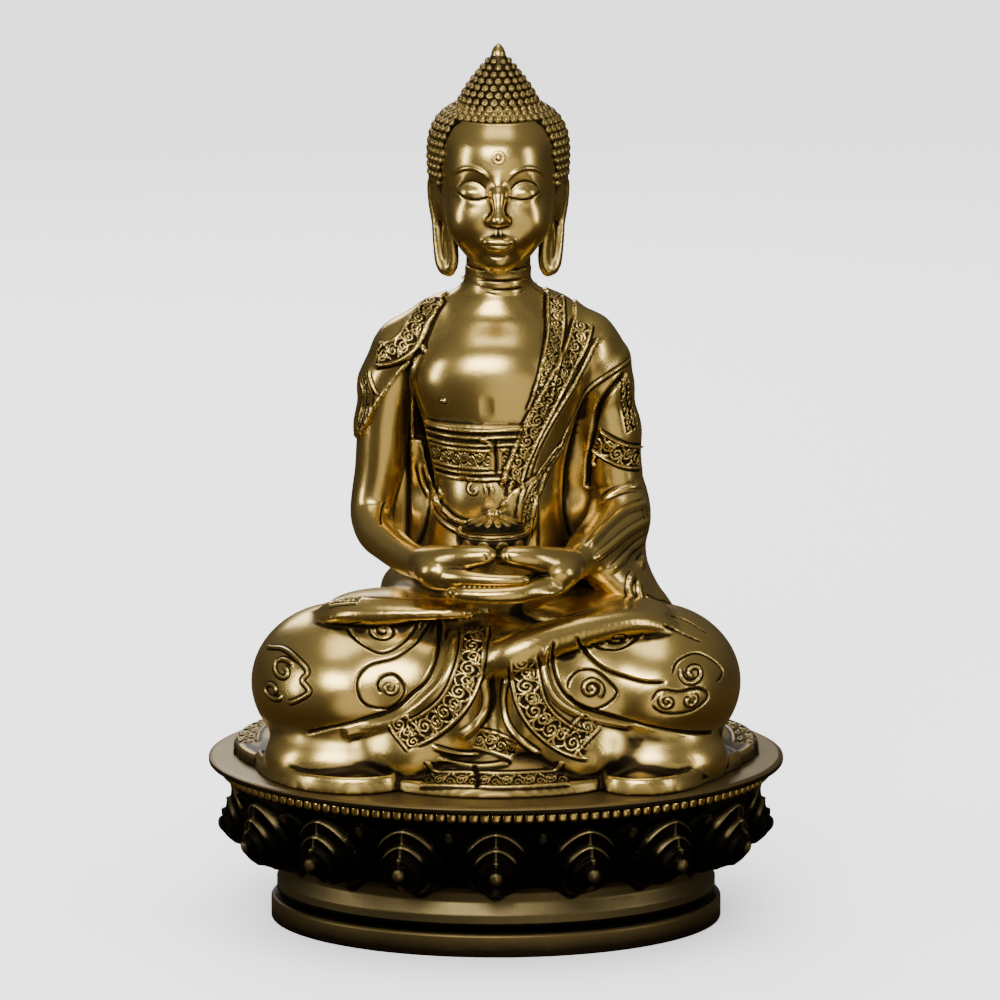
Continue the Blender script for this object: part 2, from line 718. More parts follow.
def piece(name, points, faces, slot, material, body="root", nodes=(), patina=None):
    """A mesh object from arrays in mm, riding on a body and standing for CAD nodes."""
    points, faces = np.asarray(points, float), np.asarray(faces, np.int32)
    mesh = bpy.data.meshes.new(name)
    mesh.vertices.add(len(points))
    mesh.vertices.foreach_set("co", (points * MM).astype(np.float32).ravel())
    sides = faces.shape[1]
    mesh.loops.add(faces.size)
    mesh.loops.foreach_set("vertex_index", faces.ravel())
    mesh.polygons.add(len(faces))
    mesh.polygons.foreach_set("loop_start", np.arange(0, faces.size, sides, dtype=np.int32))
    mesh.update(calc_edges=True)
    mesh.polygons.foreach_set("use_smooth", np.ones(len(faces), bool))
    values = np.zeros(len(points)) if patina is None else patina
    attribute = mesh.attributes.new("patina", "FLOAT", "POINT")
    attribute.data.foreach_set("value", np.clip(values, 0, 1).astype(np.float32))
    mesh.materials.append(material)
    obj = bpy.data.objects.new(name, mesh)
    bpy.context.scene.collection.objects.link(obj)
    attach(obj, body)
    if nodes:
        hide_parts(*nodes)


def hollows(skin, passes=(3, 14), gain=(2.2, 0.9)):
    """How far each point lies below its surroundings, at two scales: patina gathers there."""
    edges = skin.edges()[0]
    normals = skin.normals()
    total = np.zeros(len(skin.points))
    for n, g in zip(passes, gain):
        deep = ((skin.averaged(skin.points, edges, n) - skin.points) * normals).sum(1)
        total += g * deep
    return total


def shelter(points, normals, shadow, reaches=(4.0, 9.0, 16.0)):
    """From 0 in the open to 1 in a deep gap, by how close the rest of the figure is along the way out."""
    total = np.zeros(len(points))
    for reach in reaches:
        total += np.clip(1 - shadow.sample(points + normals * reach) / (reach * 0.8), 0, 1)
    return total / len(reaches)


BETWEEN_HANDS, GAP_RADII = (0, -49, 129.6), (15, 8.5, 5.4)  # the dark gap under the thumbs


def finish_skin(skin, name, nodes, carved):
    """Makes the piece, with patina from its lines, its hollows and its deep gaps."""
    edges = skin.edges()[0]
    normals = skin.normals()
    gap = shelter(skin.points, normals, shadow)
    gap = skin.averaged(gap, edges, 3)
    deep = hollows(skin)
    within = 1 - (((skin.points - BETWEEN_HANDS) / GAP_RADII) ** 2).sum(1)
    patina = carved + np.clip(deep * 1.6, -0.25, 0.8) + 0.85 * ease((gap - 0.22) / 0.6)
    patina += 0.9 * ease(within / 0.4)
    piece(name, skin.points, skin.faces, "figure_brass", FIGURE, nodes=nodes, patina=patina)


# The throne, in oval sweeps. An oval's half depth is OVAL_STEP less than its half width.

OVAL_STEP = 20.0


def ring_faces(columns, rows):
    """Quads of a closed profile of that many rows, carried round in columns."""
    i, j = np.arange(columns)[:, None], np.arange(rows)[None, :]
    a, b = i * rows + j, ((i + 1) % columns) * rows + j
    c, d = ((i + 1) % columns) * rows + (j + 1) % rows, i * rows + (j + 1) % rows
    return np.stack([a, b, c, d], -1).reshape(-1, 4)


def triangles(faces):
    """Triangles from quads, some of which repeat their third corner."""
    faces = np.asarray(faces)
    whole = faces[:, 2] != faces[:, 3]
    return np.vstack([faces[:, [0, 1, 2]], faces[whole][:, [0, 2, 3]]])


def joined(parts):
    """One mesh from (points, faces) pairs."""
    starts = np.cumsum([0] + [len(points) for points, _ in parts])
    return np.vstack([points for points, _ in parts]), np.vstack(
        [f + at for (_, f), at in zip(parts, starts)]
    )


def oval_angles(count, half_width=92.0):
    """Angles of evenly spaced points on an oval, the first at the front."""
    fine = np.linspace(0, 2 * math.pi, 20001) - math.pi / 2
    x, y = half_width * np.cos(fine), (half_width - OVAL_STEP) * np.sin(fine)
    reach = np.concatenate([[0], np.cumsum(np.hypot(np.diff(x), np.diff(y)))])
    return np.interp(np.arange(count) / count * reach[-1], reach, fine), reach[-1]


def sweep(name, profile, slot, material, nodes, columns=720, patina=None, relief=None):
    """A closed profile of (half width, z) carried round the oval. relief changes half widths and patina."""
    profile = np.array(profile, float)
    angles, _ = oval_angles(columns)
    half = np.broadcast_to(profile[:, 0], (columns, len(profile))).copy()
    z = np.broadcast_to(profile[:, 1], half.shape).copy()
    values = np.zeros(half.shape) if patina is None else np.broadcast_to(patina, half.shape).copy()
    if relief is not None:
        half, z, values = relief(half, z, values)
    x = half * np.cos(angles)[:, None]
    y = (half - OVAL_STEP) * np.sin(angles)[:, None]
    points = np.stack([x, y, z], -1).reshape(-1, 3)
    faces = ring_faces(columns, len(profile))
    piece(name, points, faces, slot, material, nodes=nodes, patina=values.ravel())


def rounded(profile, radius=0.5):
    """The closed profile with its corners rounded, so that it shades as an edge."""
    p = np.array(profile, float)
    made = []
    for before, here, after in zip(np.roll(p, 1, axis=0), p, np.roll(p, -1, axis=0)):
        ends = []
        for other in (before, after):
            way = other - here
            size = np.linalg.norm(way)
            ends.append(here + way / size * min(radius, size * 0.45))
        for t in (0, 0.25, 0.5, 0.75, 1):
            made.append((1 - t) ** 2 * ends[0] + 2 * t * (1 - t) * here + t * t * ends[1])
    return np.array(made)


PETALS = 16
PETAL_REACH = 96.0
# (z, half width) of the wall between the petals, and of the petals' crests
WALL = (
    (10.5, 75), (14, 75), (18, 73), (21.5, 73.5), (25.5, 76.5), (31, 80), (38, 83), (44, 86), (47.5, 89),
    (49.7, 91.5),
)
CREST = (
    (10.5, 75), (14, 75), (17, 73), (20, 84), (23.5, 91), (28, 94), (33, 95), (38, 95.4), (44, 95.6),
    (47.5, 95.2), (49.7, 91.5),
)


def make_throne():
    foot = rounded(
        [(69, 0), (77, 0), (77, 7.2), (76.2, 8), (73, 8), (73, 5.2), (62, 5.2), (62, 2.7), (69, 2.7)], 0.5,
    )
    groove = np.where((foot[:, 0] < 76.0) | (foot[:, 1] < 6.4), 0.62, 0.25)
    sweep("foot_ring", foot, "throne_brass", THRONE, ("foot_ring",), patina=groove)
    seat = rounded([(30, 54.2), (97, 54.2), (98, 54.8), (98, 56.3), (96.5, 57), (30, 57)], 0.4)
    dirt = np.clip((93 - seat[:, 0]) / 20, 0.1, 0.3) + np.where(seat[:, 1] < 56.2, 0.45, 0)
    sweep("seat_plate", seat, "throne_brass", THRONE, ("seat_plate",), patina=dirt)
    make_collar()
    make_drum()


RIM_BEADS = 142
RIM_HALF_WIDTH, RIM_HEIGHT = 93.2, 52.3
BEAD_SIDES = 14
BEAD_HALF_WIDTH, BEAD_HALF_HEIGHT = 1.62, 1.85
BEAD_ROUNDNESS = 0.62  # 1 would make it an oval, and 0 a rectangle
# a bead's rings, from inside the collar to its face: how far out, how large, and the patina
BEAD_RINGS = (
    (-1.6, 1.0, 1.0), (-0.4, 1.0, 0.9), (0.15, 0.94, 0.35), (0.55, 0.78, 0.12), (0.72, 0.45, 0.0),
    (0.76, 0.08, 0.0),
)


def make_collar():
    """The rim of square beads under the seat."""
    angles, _ = oval_angles(RIM_BEADS, 93.0)
    corner = np.linspace(0, 2 * math.pi, BEAD_SIDES, endpoint=False)
    c, s = np.cos(corner), np.sin(corner)
    bead, rows = [], []
    for depth, size, _ in BEAD_RINGS:
        u = np.sign(c) * np.abs(c) ** BEAD_ROUNDNESS * BEAD_HALF_WIDTH * size
        w = np.sign(s) * np.abs(s) ** BEAD_ROUNDNESS * BEAD_HALF_HEIGHT * size
        bead.append(np.column_stack([u, np.full(BEAD_SIDES, depth), w]))
    bead = np.vstack(bead)
    for r in range(len(BEAD_RINGS) - 1):
        for k in range(BEAD_SIDES):
            low, high, n = r * BEAD_SIDES, (r + 1) * BEAD_SIDES, (k + 1) % BEAD_SIDES
            rows.append((low + k, low + n, high + n, high + k))
    rows = np.array(rows)
    beads = []
    for angle in angles:
        wide, deep = RIM_HALF_WIDTH, RIM_HALF_WIDTH - OVAL_STEP
        centre = np.array([wide * math.cos(angle), deep * math.sin(angle), RIM_HEIGHT])
        out = np.array([deep * math.cos(angle), wide * math.sin(angle), 0])
        out /= np.linalg.norm(out)
        side = np.array([-out[1], out[0], 0])
        points = centre + bead[:, :1] * side + bead[:, 1:2] * out + bead[:, 2:] * np.array([0, 0, 1.0])
        beads.append((points, rows))
    patina = np.tile(np.repeat([dark for _, _, dark in BEAD_RINGS], BEAD_SIDES), RIM_BEADS)
    piece("rim_beads", *joined(beads), "throne_brass", FIGURE, patina=patina)
    back = rounded([(88, 50), (91.5, 50), (92.4, 52), (91.5, 53.9), (88, 53.9)], 0.3)
    sweep(
        "beaded_collar", back, "throne_brass", THRONE, ("beaded_collar",), patina=np.full(len(back), 0.95),
    )


def arch(across, z, radius, shift, middle, squeeze):
    """How far inside a pointed arch with a drawn-in foot a point lies."""
    height = (z - middle) * np.where(z > middle, 1.0, squeeze)
    return radius - np.hypot(np.abs(across) + shift, height)


def boss(across, up, half_width, half_height):
    """The height of a round button, from 1 at its middle to 0 at its edge."""
    return np.clip(1 - ((across / half_width) ** 2 + (up / half_height) ** 2), 0, 1) ** 0.5


def make_drum():
    """The wall under the collar: hanging petals, the tips of a second row between them, and a waist."""
    columns, rows = 56 * PETALS, 92
    z = np.linspace(WALL[0][0], WALL[-1][0], rows)
    outer = np.column_stack([np.interp(z, *np.array(WALL).T), z])
    inner = [(88.5, 49.7), (77, 31), (70, 18), (70.5, 8.3), (73.5, 8.3)]
    profile = np.vstack([[(75, 9.8)], outer, inner])

    def carve(half, z, values):
        _, around = oval_angles(columns)
        pitch = around / PETALS
        a = ((np.arange(columns) / columns * around + pitch / 2) % pitch - pitch / 2)[:, None]
        body = slice(1, rows + 1)  # the outer wall, without the profile's underside and inner wall
        h, w = half[:, body], z[:, body]
        reach = np.maximum(np.interp(w, *np.array(CREST).T) - h, 0)
        # each petal: three arches, one inside the other, a knob and a drop in the middle, and a keel above
        first = arch(a, w, 16.2, 3.0, 31.0, 1.5)
        second = arch(a, w, 11.4, 2.2, 30.5, 1.3)
        third = arch(a, w, 7.6, 1.2, 30.2, 1.25)
        knob, drop = boss(a, w - 31.5, 2.9, 3.1), boss(a, w - 26.2, 1.9, 2.6)
        dome = np.clip(first / 13.2, 0, 1) ** 0.62
        share = 0.24 * ease(first / 0.9) + 0.46 * dome + 0.12 * ease(second / 0.8) + 0.1 * ease(third / 0.8)
        lift = reach * share + 1.5 * knob + 1.1 * drop
        rim_1, rim_2, rim_3 = bell(first - 0.9, 0.55), bell(second - 0.7, 0.5), bell(third - 0.6, 0.45)
        keel = bell(a, 0.6) * ease((w - 34) / 2) * ease((46.5 - w) / 1.5)
        lift = lift + 0.55 * rim_1 + 0.45 * rim_2 + 0.3 * rim_3 + 0.5 * keel
        # the second row, which shows in the gaps
        b = (a + pitch) % pitch - pitch / 2
        tip = boss(b, w - 43.8, 2.4, 3.4)
        back = arch(b, w, 9.0, 1.5, 38.0, 1.1)
        lift = lift + np.where(first < 0, reach * 0.22 * ease(back / 1.2) + 1.6 * tip, 0)
        half[:, body] = np.minimum(h + lift, np.maximum(h, PETAL_REACH))
        # rubbed bright on what stands out, darkest at the foot
        high = ease((w - 24) / 6)
        crown = ease((w - 37) / 5)
        bright = 0.62 * rim_1 * crown + 0.6 * rim_2 * ease((w - 34) / 4) + 0.2 * rim_3 * high
        bright = bright + 0.42 * keel + 0.75 * knob**3 + 0.7 * drop**3 + 0.45 * tip**3
        hang = 25.0 - 5.0 * bell(a, 6.5)
        waist = ease((hang - w) / 2.4) * (first < 0.1)
        bare = 0.98 - 0.85 * np.clip(bright, 0, 1)
        values[:, body] = bare - 0.38 * waist
        values[:, body] = np.maximum(values[:, body], 0.95 * ease((11.6 - w) / 0.8))
        return half, z, values

    sweep(
        "lotus_drum", profile, "dark_brass", DARK, ("lotus_drum",), columns, np.full(len(profile), 0.97),
        carve,
    )


# The figure

SCROLL = scroll_tile(2.6)
WIDE_SCROLL = scroll_tile(3.3, period=8.6, line=0.4)
SMALL_SCROLL = scroll_tile(1.9, period=5.6, line=0.27)
GRAIN = grain_tile()

# the whole figure on a coarse grid, for shelter()
shadow = Clay((-102, -84, 50), (102, 84, 304), 2.4)


def on_side(side, points, middle=0.0):
    """Points of the left side (1), kept there or mirrored to the right side (-1)."""
    return [(middle + side * x, *rest) for x, *rest in points]


def legs_clay():
    """Both crossed legs under the robe, with its hems spread on the seat."""
    clay = Clay((-92, -76, 55), (92, 72, 126), 0.8, shadow)
    clay.add(ellipsoid((0, 12, 88), (47, 36, 33)), 2)
    clay.add(ellipsoid((0, 2, 78), (60, 45, 24)), 6)
    clay.add(ellipsoid((0, 4, 110), (38, 30, 22)), 8)
    clay.add(ellipsoid((0, -34, 84), (40, 24, 27)), 8)
    clay.add(ellipsoid((0, 13, 113), (38.5, 23, 13)), 5)
    fan = [
        (60, -34), (72, -31), (81, -23), (87, -12), (89.5, 1), (88.5, 14), (84, 27), (75, 38), (60, 46),
        (44, 40), (40, 0),
    ]
    for side in (-1, 1):
        clay.add(ellipsoid((side * 52, -17, 86), (30.5, 34, 25.5)), 8)
        clay.limb((side * 8, -2, 90, 26), (side * 32, -22, 88, 25.5), (side * 54, -17, 85, 24.5), blend=6)
        clay.add(ellipsoid((side * 30, 40, 62), (34, 22, 12)), 4)
        clay.add(ellipsoid((side * 53, -33, 63), (25, 18.5, 14)), 6)
        clay.add(ellipsoid((side * 27, -40.5, 68), (17, 16, 14)), 7)
        clay.add(spread(on_side(side, fan), lip=1.0, low=3.0, slope=0.22), 1.5)
    clay.add(ellipsoid((0, 44, 62), (30, 24, 14)), 4)
    # the valley between the knees
    clay.cut(ellipsoid((-1, -63, 86), (6.5, 13, 20)), 7)
    # hems on the seat: the middle one, then one under each knee, with a thick rolled lip
    middle = [
        (-42, -40), (-37, -51), (-31, -57.5), (-22, -62), (-11, -65), (3, -65.8), (17, -63.6), (29, -59.2),
        (37, -53), (42, -40), (0, -20),
    ]
    clay.add(spread(middle, lip=0.9, low=2.6, slope=0.34, rise=0.03), 1)
    right = [
        (-82, -20), (-80, -30), (-76.5, -40), (-70, -50), (-61, -57.4), (-50, -60.8), (-40, -60),
        (-32.5, -55.5), (-31, -46), (-44, -30), (-64, -14),
    ]
    left = [
        (33, -44), (34.5, -54), (39.5, -60), (48, -62.4), (57.5, -60), (66, -52.6), (71, -44), (76, -34),
        (83, -22), (74, -10), (48, -26),
    ]
    for hem in (right, left):
        clay.add(spread(hem, lip=2.8, low=2.8, slope=0.15, rise=0.02, roll=1.8), 1.2)
    # the left foot under its cloth, and the cloth that lies over both thighs, with its edge in front
    foot = [
        (-4, -42, 99), (2.5, -49, 101), (10, -49.4, 104.6), (20, -46.6, 107.6), (33, -43, 110),
        (46, -38.6, 110.6), (58, -33, 107.6),
    ]
    clay.tube(foot, (5.4, 6.2, 6.0, 5.2, 4.2, 3.2, 2.0), 2.5)
    edge = [
        (-60, -27, 108.4), (-54, -33.6, 111.6), (-46, -38, 113.4), (-36, -41.6, 114.4), (-24, -43.8, 115),
        (-13, -44, 115.4), (-7, -40, 114.4),
    ]
    for k in range(3):
        clay.tube(
            [(x, y + 2.2 * k, z + 1.0 * k) for x, y, z in edge], (1.0, 1.5, 1.7, 1.7, 1.7, 1.6, 1.2), 2
        )
    clay.add(ellipsoid((-36, -24, 113), (20, 18, 5.4)), 4)
    clay.add(ellipsoid((34, -26, 111.4), (24, 15, 6.4)), 4)
    clay.floor(SEAT_TOP + 0.2)
    return clay


def chase_legs(stroke):
    """Folds, borders and swirls of the cloth over the legs."""
    wide = Band(9.0, WIDE_SCROLL, depth=0.5, rim=0.6, raised=0.7, taper=5)
    narrow = Ridge(1.5, -0.6)
    curled = Ridge(1.7, 0.7, taper=2, edge=0.85)
    # right knee, on the viewer's left
    stroke(
        [(-6.8, 113.6), (-7.6, 103.5), (-10.4, 94), (-15.6, 85.4), (-22.6, 79.2), (-29.6, 75.6)],
        Band(8.6, WIDE_SCROLL, depth=0.5, rim=0.6, raised=0.7, taper=4),
    )
    stroke(
        [(-13.6, 113), (-14.4, 102), (-17.6, 94), (-22.8, 88.2), (-30, 82), (-40, 77.8), (-52, 74.6)],
        Ridge(6.4, 1.3),
    )
    stroke(
        [
            (-64, 74.6), (-57, 76.6), (-44.8, 79.8), (-34, 84), (-27.6, 89.9), (-23, 94.4), (-19.6, 102.4),
            (-18.6, 113.1),
        ],
        Ridge(2.2, -1.0),
    )
    big = [
        (-19.9, 113), (-23.9, 108), (-27.6, 104.2), (-33.7, 100.5), (-42.3, 98), (-46, 93.6), (-45.4, 87.9),
        (-42.3, 84.7), (-36.2, 84.1), (-31.3, 87.9),
    ]
    stroke([*big, (-30.7, 91.7), (-33.7, 95.2), (-37.8, 94.6), (-39.4, 91.4), (-37.6, 88.6)], narrow)
    stroke(spiral((-35.4, 91.2), 3.0, -1.2, 40, 0.95), Ridge(1.5, 0.6, taper=1.5, edge=0.5))
    stroke(
        [
            (-50.6, 108.9), (-47.3, 105.8), (-43, 103.3), (-38.1, 101.8), (-32.6, 103.9), (-27.4, 108.4),
            (-25, 112.6),
        ],
        narrow,
    )
    stroke([(-50.6, 108.9), (-47.4, 110.6), (-44, 111.6)], narrow)
    stroke(spiral((-37.6, 108.4), 5.2, 1.7, 170, 0.62), Ridge(1.3, -0.5))
    stroke(spiral((-71, 94.8), 4.4, 1.35, 30, 0.9), curled)
    stroke(spiral((-74.6, 88), 3.8, -1.3, -20, 0.9), curled)
    stroke(
        [
            (-77, 99.6), (-71, 101), (-65.6, 98.6), (-62.6, 95.6), (-64.6, 92.8), (-62, 89.6), (-66, 86.4),
            (-70, 84.4),
        ],
        curled,
    )
    # left knee, on the viewer's right
    stroke([(9, 103), (9.8, 96), (12, 87), (16.7, 80), (23.7, 74.7), (32.5, 72)], wide)
    stroke(
        [(16.4, 107), (15.8, 100), (18.4, 90.6), (25.4, 84), (36, 80), (46, 77.4)],
        Ridge(3.6, 0.9, edge=0.4),
    )
    stroke(
        [(19.4, 108.6), (18.9, 101), (21.6, 92), (28, 85.6), (38, 81.6), (48, 78.4), (60, 75.6), (73, 73)],
        Ridge(2.0, -0.9),
    )
    stroke(
        [(26.6, 109.4), (29.3, 103.1), (35.4, 97.6), (42.2, 94.8), (49, 93.1), (57, 92.8)], Ridge(2.0, -1.0),
    )
    stroke([(31.4, 105.9), (34.1, 103.6), (40.9, 102.9), (47, 105.7), (49.4, 108)], Ridge(1.4, -0.5))
    stroke(spiral((40.6, 106.6), 4.4, 1.6, 180, 0.55), Ridge(1.2, -0.5))
    stroke(
        [
            (23.9, 90.4), (24.4, 94), (27.8, 96.8), (33, 96.6), (37.6, 93), (40.2, 89), (36.4, 85),
            (31.4, 83.8), (27, 85.8), (23.9, 90.4),
        ],
        narrow,
    )
    stroke(spiral((31.6, 90.8), 4.2, 1.5, -60, 0.9), curled)
    stroke([(58.5, 94.6), (60.5, 99), (66.6, 100.6), (72.4, 97.6), (76, 93.2), (73.4, 90.4)], narrow)
    stroke(spiral((65.6, 95), 4.4, 1.5, 150, 0.9), curled)
    stroke(
        [
            (51.1, 85.9), (54.5, 90.4), (61.3, 89.6), (67.5, 90), (70.8, 86.6), (64.7, 82.4), (55.5, 82.6),
            (51.1, 85.9),
        ],
        narrow,
    )
    stroke(spiral((57, 86.4), 2.9, 1.3, 100, 0.9), curled)
    stroke(spiral((64.6, 86.2), 2.7, -1.3, 80, 0.9), curled)
    stroke([(55.4, 109.9), (61.3, 106.7), (69.5, 102.9)], Ridge(1.6, -0.7))
    stroke([(58, 111), (64.6, 108.5), (71.8, 104.3)], Ridge(1.6, -0.7))
    # engraved patches beside the lap, on the side fans and in the middle hem
    stroke([(-55, -29), (-50, -32.6), (-45, -35)], Band(6, GRAIN, depth=0.4, rim=0.3, taper=0.5), "top")
    along_fan = [(85, -6), (85.2, 2), (84, 14), (79.4, 26), (72, 35)]
    for side in (-1, 1):
        stroke(on_side(side, along_fan), Band(8.4, WIDE_SCROLL, depth=0.45, rim=0.3, raised=0.2), "top")
    stroke(
        [
            (-34, -50), (-27, -55.4), (-18, -58.6), (-8, -60.4), (3, -61), (14, -59.4), (24, -56.2),
            (33, -50.6),
        ],
        Band(7.2, SCROLL, depth=0.5, rim=0.5), "top",
    )
    stroke([(-6.5, -66), (-6, -60), (-8, -54)], Ridge(2.2, -1.0, taper=1), "top")
    stroke([(-20, 68.4), (-12, 66.2), (-4, 65.8), (5, 66.8)], Ridge(2.6, 1.0, edge=0.8))
    stroke([(-22, 72.6), (-13, 69.8), (-5, 69.2)], Ridge(2.0, 0.8, edge=0.8))
    stroke([(-7, 74.8), (0, 72.8), (7, 70.8)], Band(6.4, SCROLL, depth=0.4, rim=0.2, raised=0.0))
    stroke(
        [(-2.6, 99), (-3.4, 93.6), (-2.8, 88), (-4, 82.8), (-8, 78.4), (-13, 75)], Ridge(4.6, 0.9, edge=0.5),
    )
    stroke([(3.6, 96), (2.6, 88), (4, 80), (9, 74), (15, 69)], Ridge(2.6, 1.2, edge=0.9))
    # the robe's folds on the back of the lap
    for x, z in ((-44, 92), (-24, 98), (-4, 100), (18, 99), (40, 94)):
        stroke(
            [(x, z), (x * 1.16, z - 12), (x * 1.3, z - 22), (x * 1.42, z - 32)],
            Ridge(9, 1.5, taper=14, edge=0.2), "back",
        )
    stroke(
        [(-64, 70), (-40, 66), (-14, 64), (14, 64), (40, 66), (64, 70)],
        Band(7, SCROLL, depth=0.4, rim=0.5, raised=0.4), "back",
    )


def make_legs():
    skin = legs_clay().skin().smooth(5)
    chase_legs(skin.stroke)
    carved = skin.chase(0.42)
    # dirt low down, most of all where the cloth meets the seat, and on the side fans
    z = skin.points[:, 2]
    outside = ease((np.abs(skin.points[:, 0]) - 74) / 8) * (z < 64)
    dirt = 0.26 * ease((76 - z) / 10) + 0.4 * ease((61.2 - z) / 2.2) + 0.3 * outside
    finish_skin(skin, "crossed_legs", ("crossed_legs",), carved + dirt)


# edges of the robe on the right side: round the neck and down the chest, and the sleeve's hem
LIP = [(-10.4, 220.9), (-15.4, 217.1), (-19.6, 212), (-22.1, 206.9), (-24.2, 201.8), (-27.2, 197.5)]
HEM = [(-28, 194.6), (-31.4, 191), (-35.7, 185), (-39, 180.2), (-42.4, 174.5), (-47, 165.4)]


def torso_clay():
    """Chest, back, shoulders and the robe over them, down to the waist."""
    clay = Clay((-58, -34, 112), (62, 38, 226), 0.7, shadow)
    rings = [
        (112, 33, 26, 0, 0), (120, 31, 25, 0, 0), (130, 23.5, 21, 0, -2), (142, 20.6, 18.5, 0, -3),
        (155, 21.0, 18, 0, -3), (165, 22.8, 19, 0, -3), (178, 26.2, 20, 0, -2), (190, 29.0, 18.5, 0, 0),
        (199, 27.6, 16, 0, 1), (205, 24, 14, 0, 1.5), (210, 18.5, 12.4, 0, 2), (214, 14, 11.6, 0, 2.5),
        (218, 11.4, 10.6, 0.4, 3), (225, 11.2, 10.4, 0.8, 3),
    ]
    clay.add(column(rings), 1)
    clay.add(ellipsoid((-1, -8.5, 188), (25, 13.6, 17), 10), 6)
    clay.add(ellipsoid((0, -9, 148), (17, 13, 13)), 6)
    # upper arms in their sleeves, and the slopes of the shoulders
    clay.limb(
        (-19, 2, 200.5, 9.2), (-31, 3, 193.5, 9.6), (-36.4, 3.5, 184, 8.4), (-38.2, 4, 170, 7.9),
        (-38.8, 4.2, 164, 7.8), blend=5,
    )
    clay.limb(
        (19, 2, 200.5, 8.6), (31, 3, 193.6, 8.2), (36.4, 4, 184, 7.4), (38.8, 5.5, 168, 7.6),
        (40.2, 6, 152, 7.9), blend=5,
    )
    clay.limb((-8, 3.4, 212, 6.8), (-19, 3, 204.6, 8.2), (-30, 3, 198, 8.4), blend=3)
    clay.limb((10, 3.4, 212.4, 6.8), (19, 3, 206, 7.8), (31, 3, 199.2, 7.2), (37.6, 4, 192.4, 6.2), blend=3)
    for side in (-1, 1):
        clay.limb(
            (side * 27, 9, 182, 7), (side * 25.5, 11, 160, 6.6), (side * 25, 12, 138, 7.5),
            (side * 27, 12, 118, 9), blend=6,
        )
    # the robe, as cloth over the back and both shoulders, open on the chest
    clay.layer(1.0, front_area([*LIP, *HEM, (-70, 164), (-70, 221)]))
    depth = clay.axes[1][None, :, None]
    front, behind = ease((16 - depth) / 12), ease((depth - 4) / 10)
    clay.layer(
        1.0 * behind,
        front_area([(-99, 100), (99, 100), (99, 219), (16, 219), (0, 214.6), (-16, 219), (-99, 219)]),
    )
    # on its left side three layers lie over each other, each with its own edge
    under = [
        (16, 230), (16.4, 209), (16.3, 199), (14.7, 189), (12, 178), (9, 168), (5, 158), (2, 148), (0, 130),
        (70, 130), (70, 230),
    ]
    clay.layer(0.9 * front, front_area(under))
    main = [
        (26.3, 230), (26.3, 206.5), (24, 202), (19.5, 194.5), (14.7, 183.7), (9, 172), (5.8, 164.5),
        (3.8, 157), (3, 130), (70, 130), (70, 230),
    ]
    clay.layer(0.9 * front, front_area(main))
    sash = [
        (40, 230), (39.4, 204.3), (33, 199.7), (28.4, 190.5), (21.6, 180), (14.7, 168), (9.3, 154),
        (7.2, 140),
    ]
    fold = [
        (12, 140), (16, 154), (22, 166), (27, 176), (31.5, 183.5), (39, 189), (47, 193.6), (70, 204),
        (70, 230),
    ]
    clay.layer(0.9 * front * ease((41 - clay.axes[0][:, None, None]) / 11), front_area([*sash, *fold]), 1.2)
    # the wrap round the waist, and the cloth that hangs from it
    clay.layer(1.4, front_area([(-24.6, 174.6), (9.5, 174.6), (6, 166), (3.2, 156), (-21, 156)], -99, 4))
    drape = [
        (-30, 166), (-24.7, 165.4), (-23.9, 159.4), (-22.2, 152.5), (-18.9, 146.5), (-15.5, 143.1),
        (-10, 141.3), (-3.7, 143.1), (1.3, 146.5), (4.7, 152.5), (14, 158), (14, 120), (-40, 120),
    ]
    clay.layer(1.5, front_area(drape, -99, 10))
    # the bare arm is a piece of its own, from under the hem down
    area = front_area([*HEM, (-60, 160), (-60, 112), (-29.2, 112), (-29.2, 190)], -99, 9)
    clay.cut(((-58, -30, 112), (-27, 9, 196), area), 0)
    # nothing of the torso below the lap's top
    clay.cut(((-60, -40, 100), (60, 40, 120.2), lambda x, y, z: z - 120.2 + 0 * x + 0 * y), 0)
    return clay


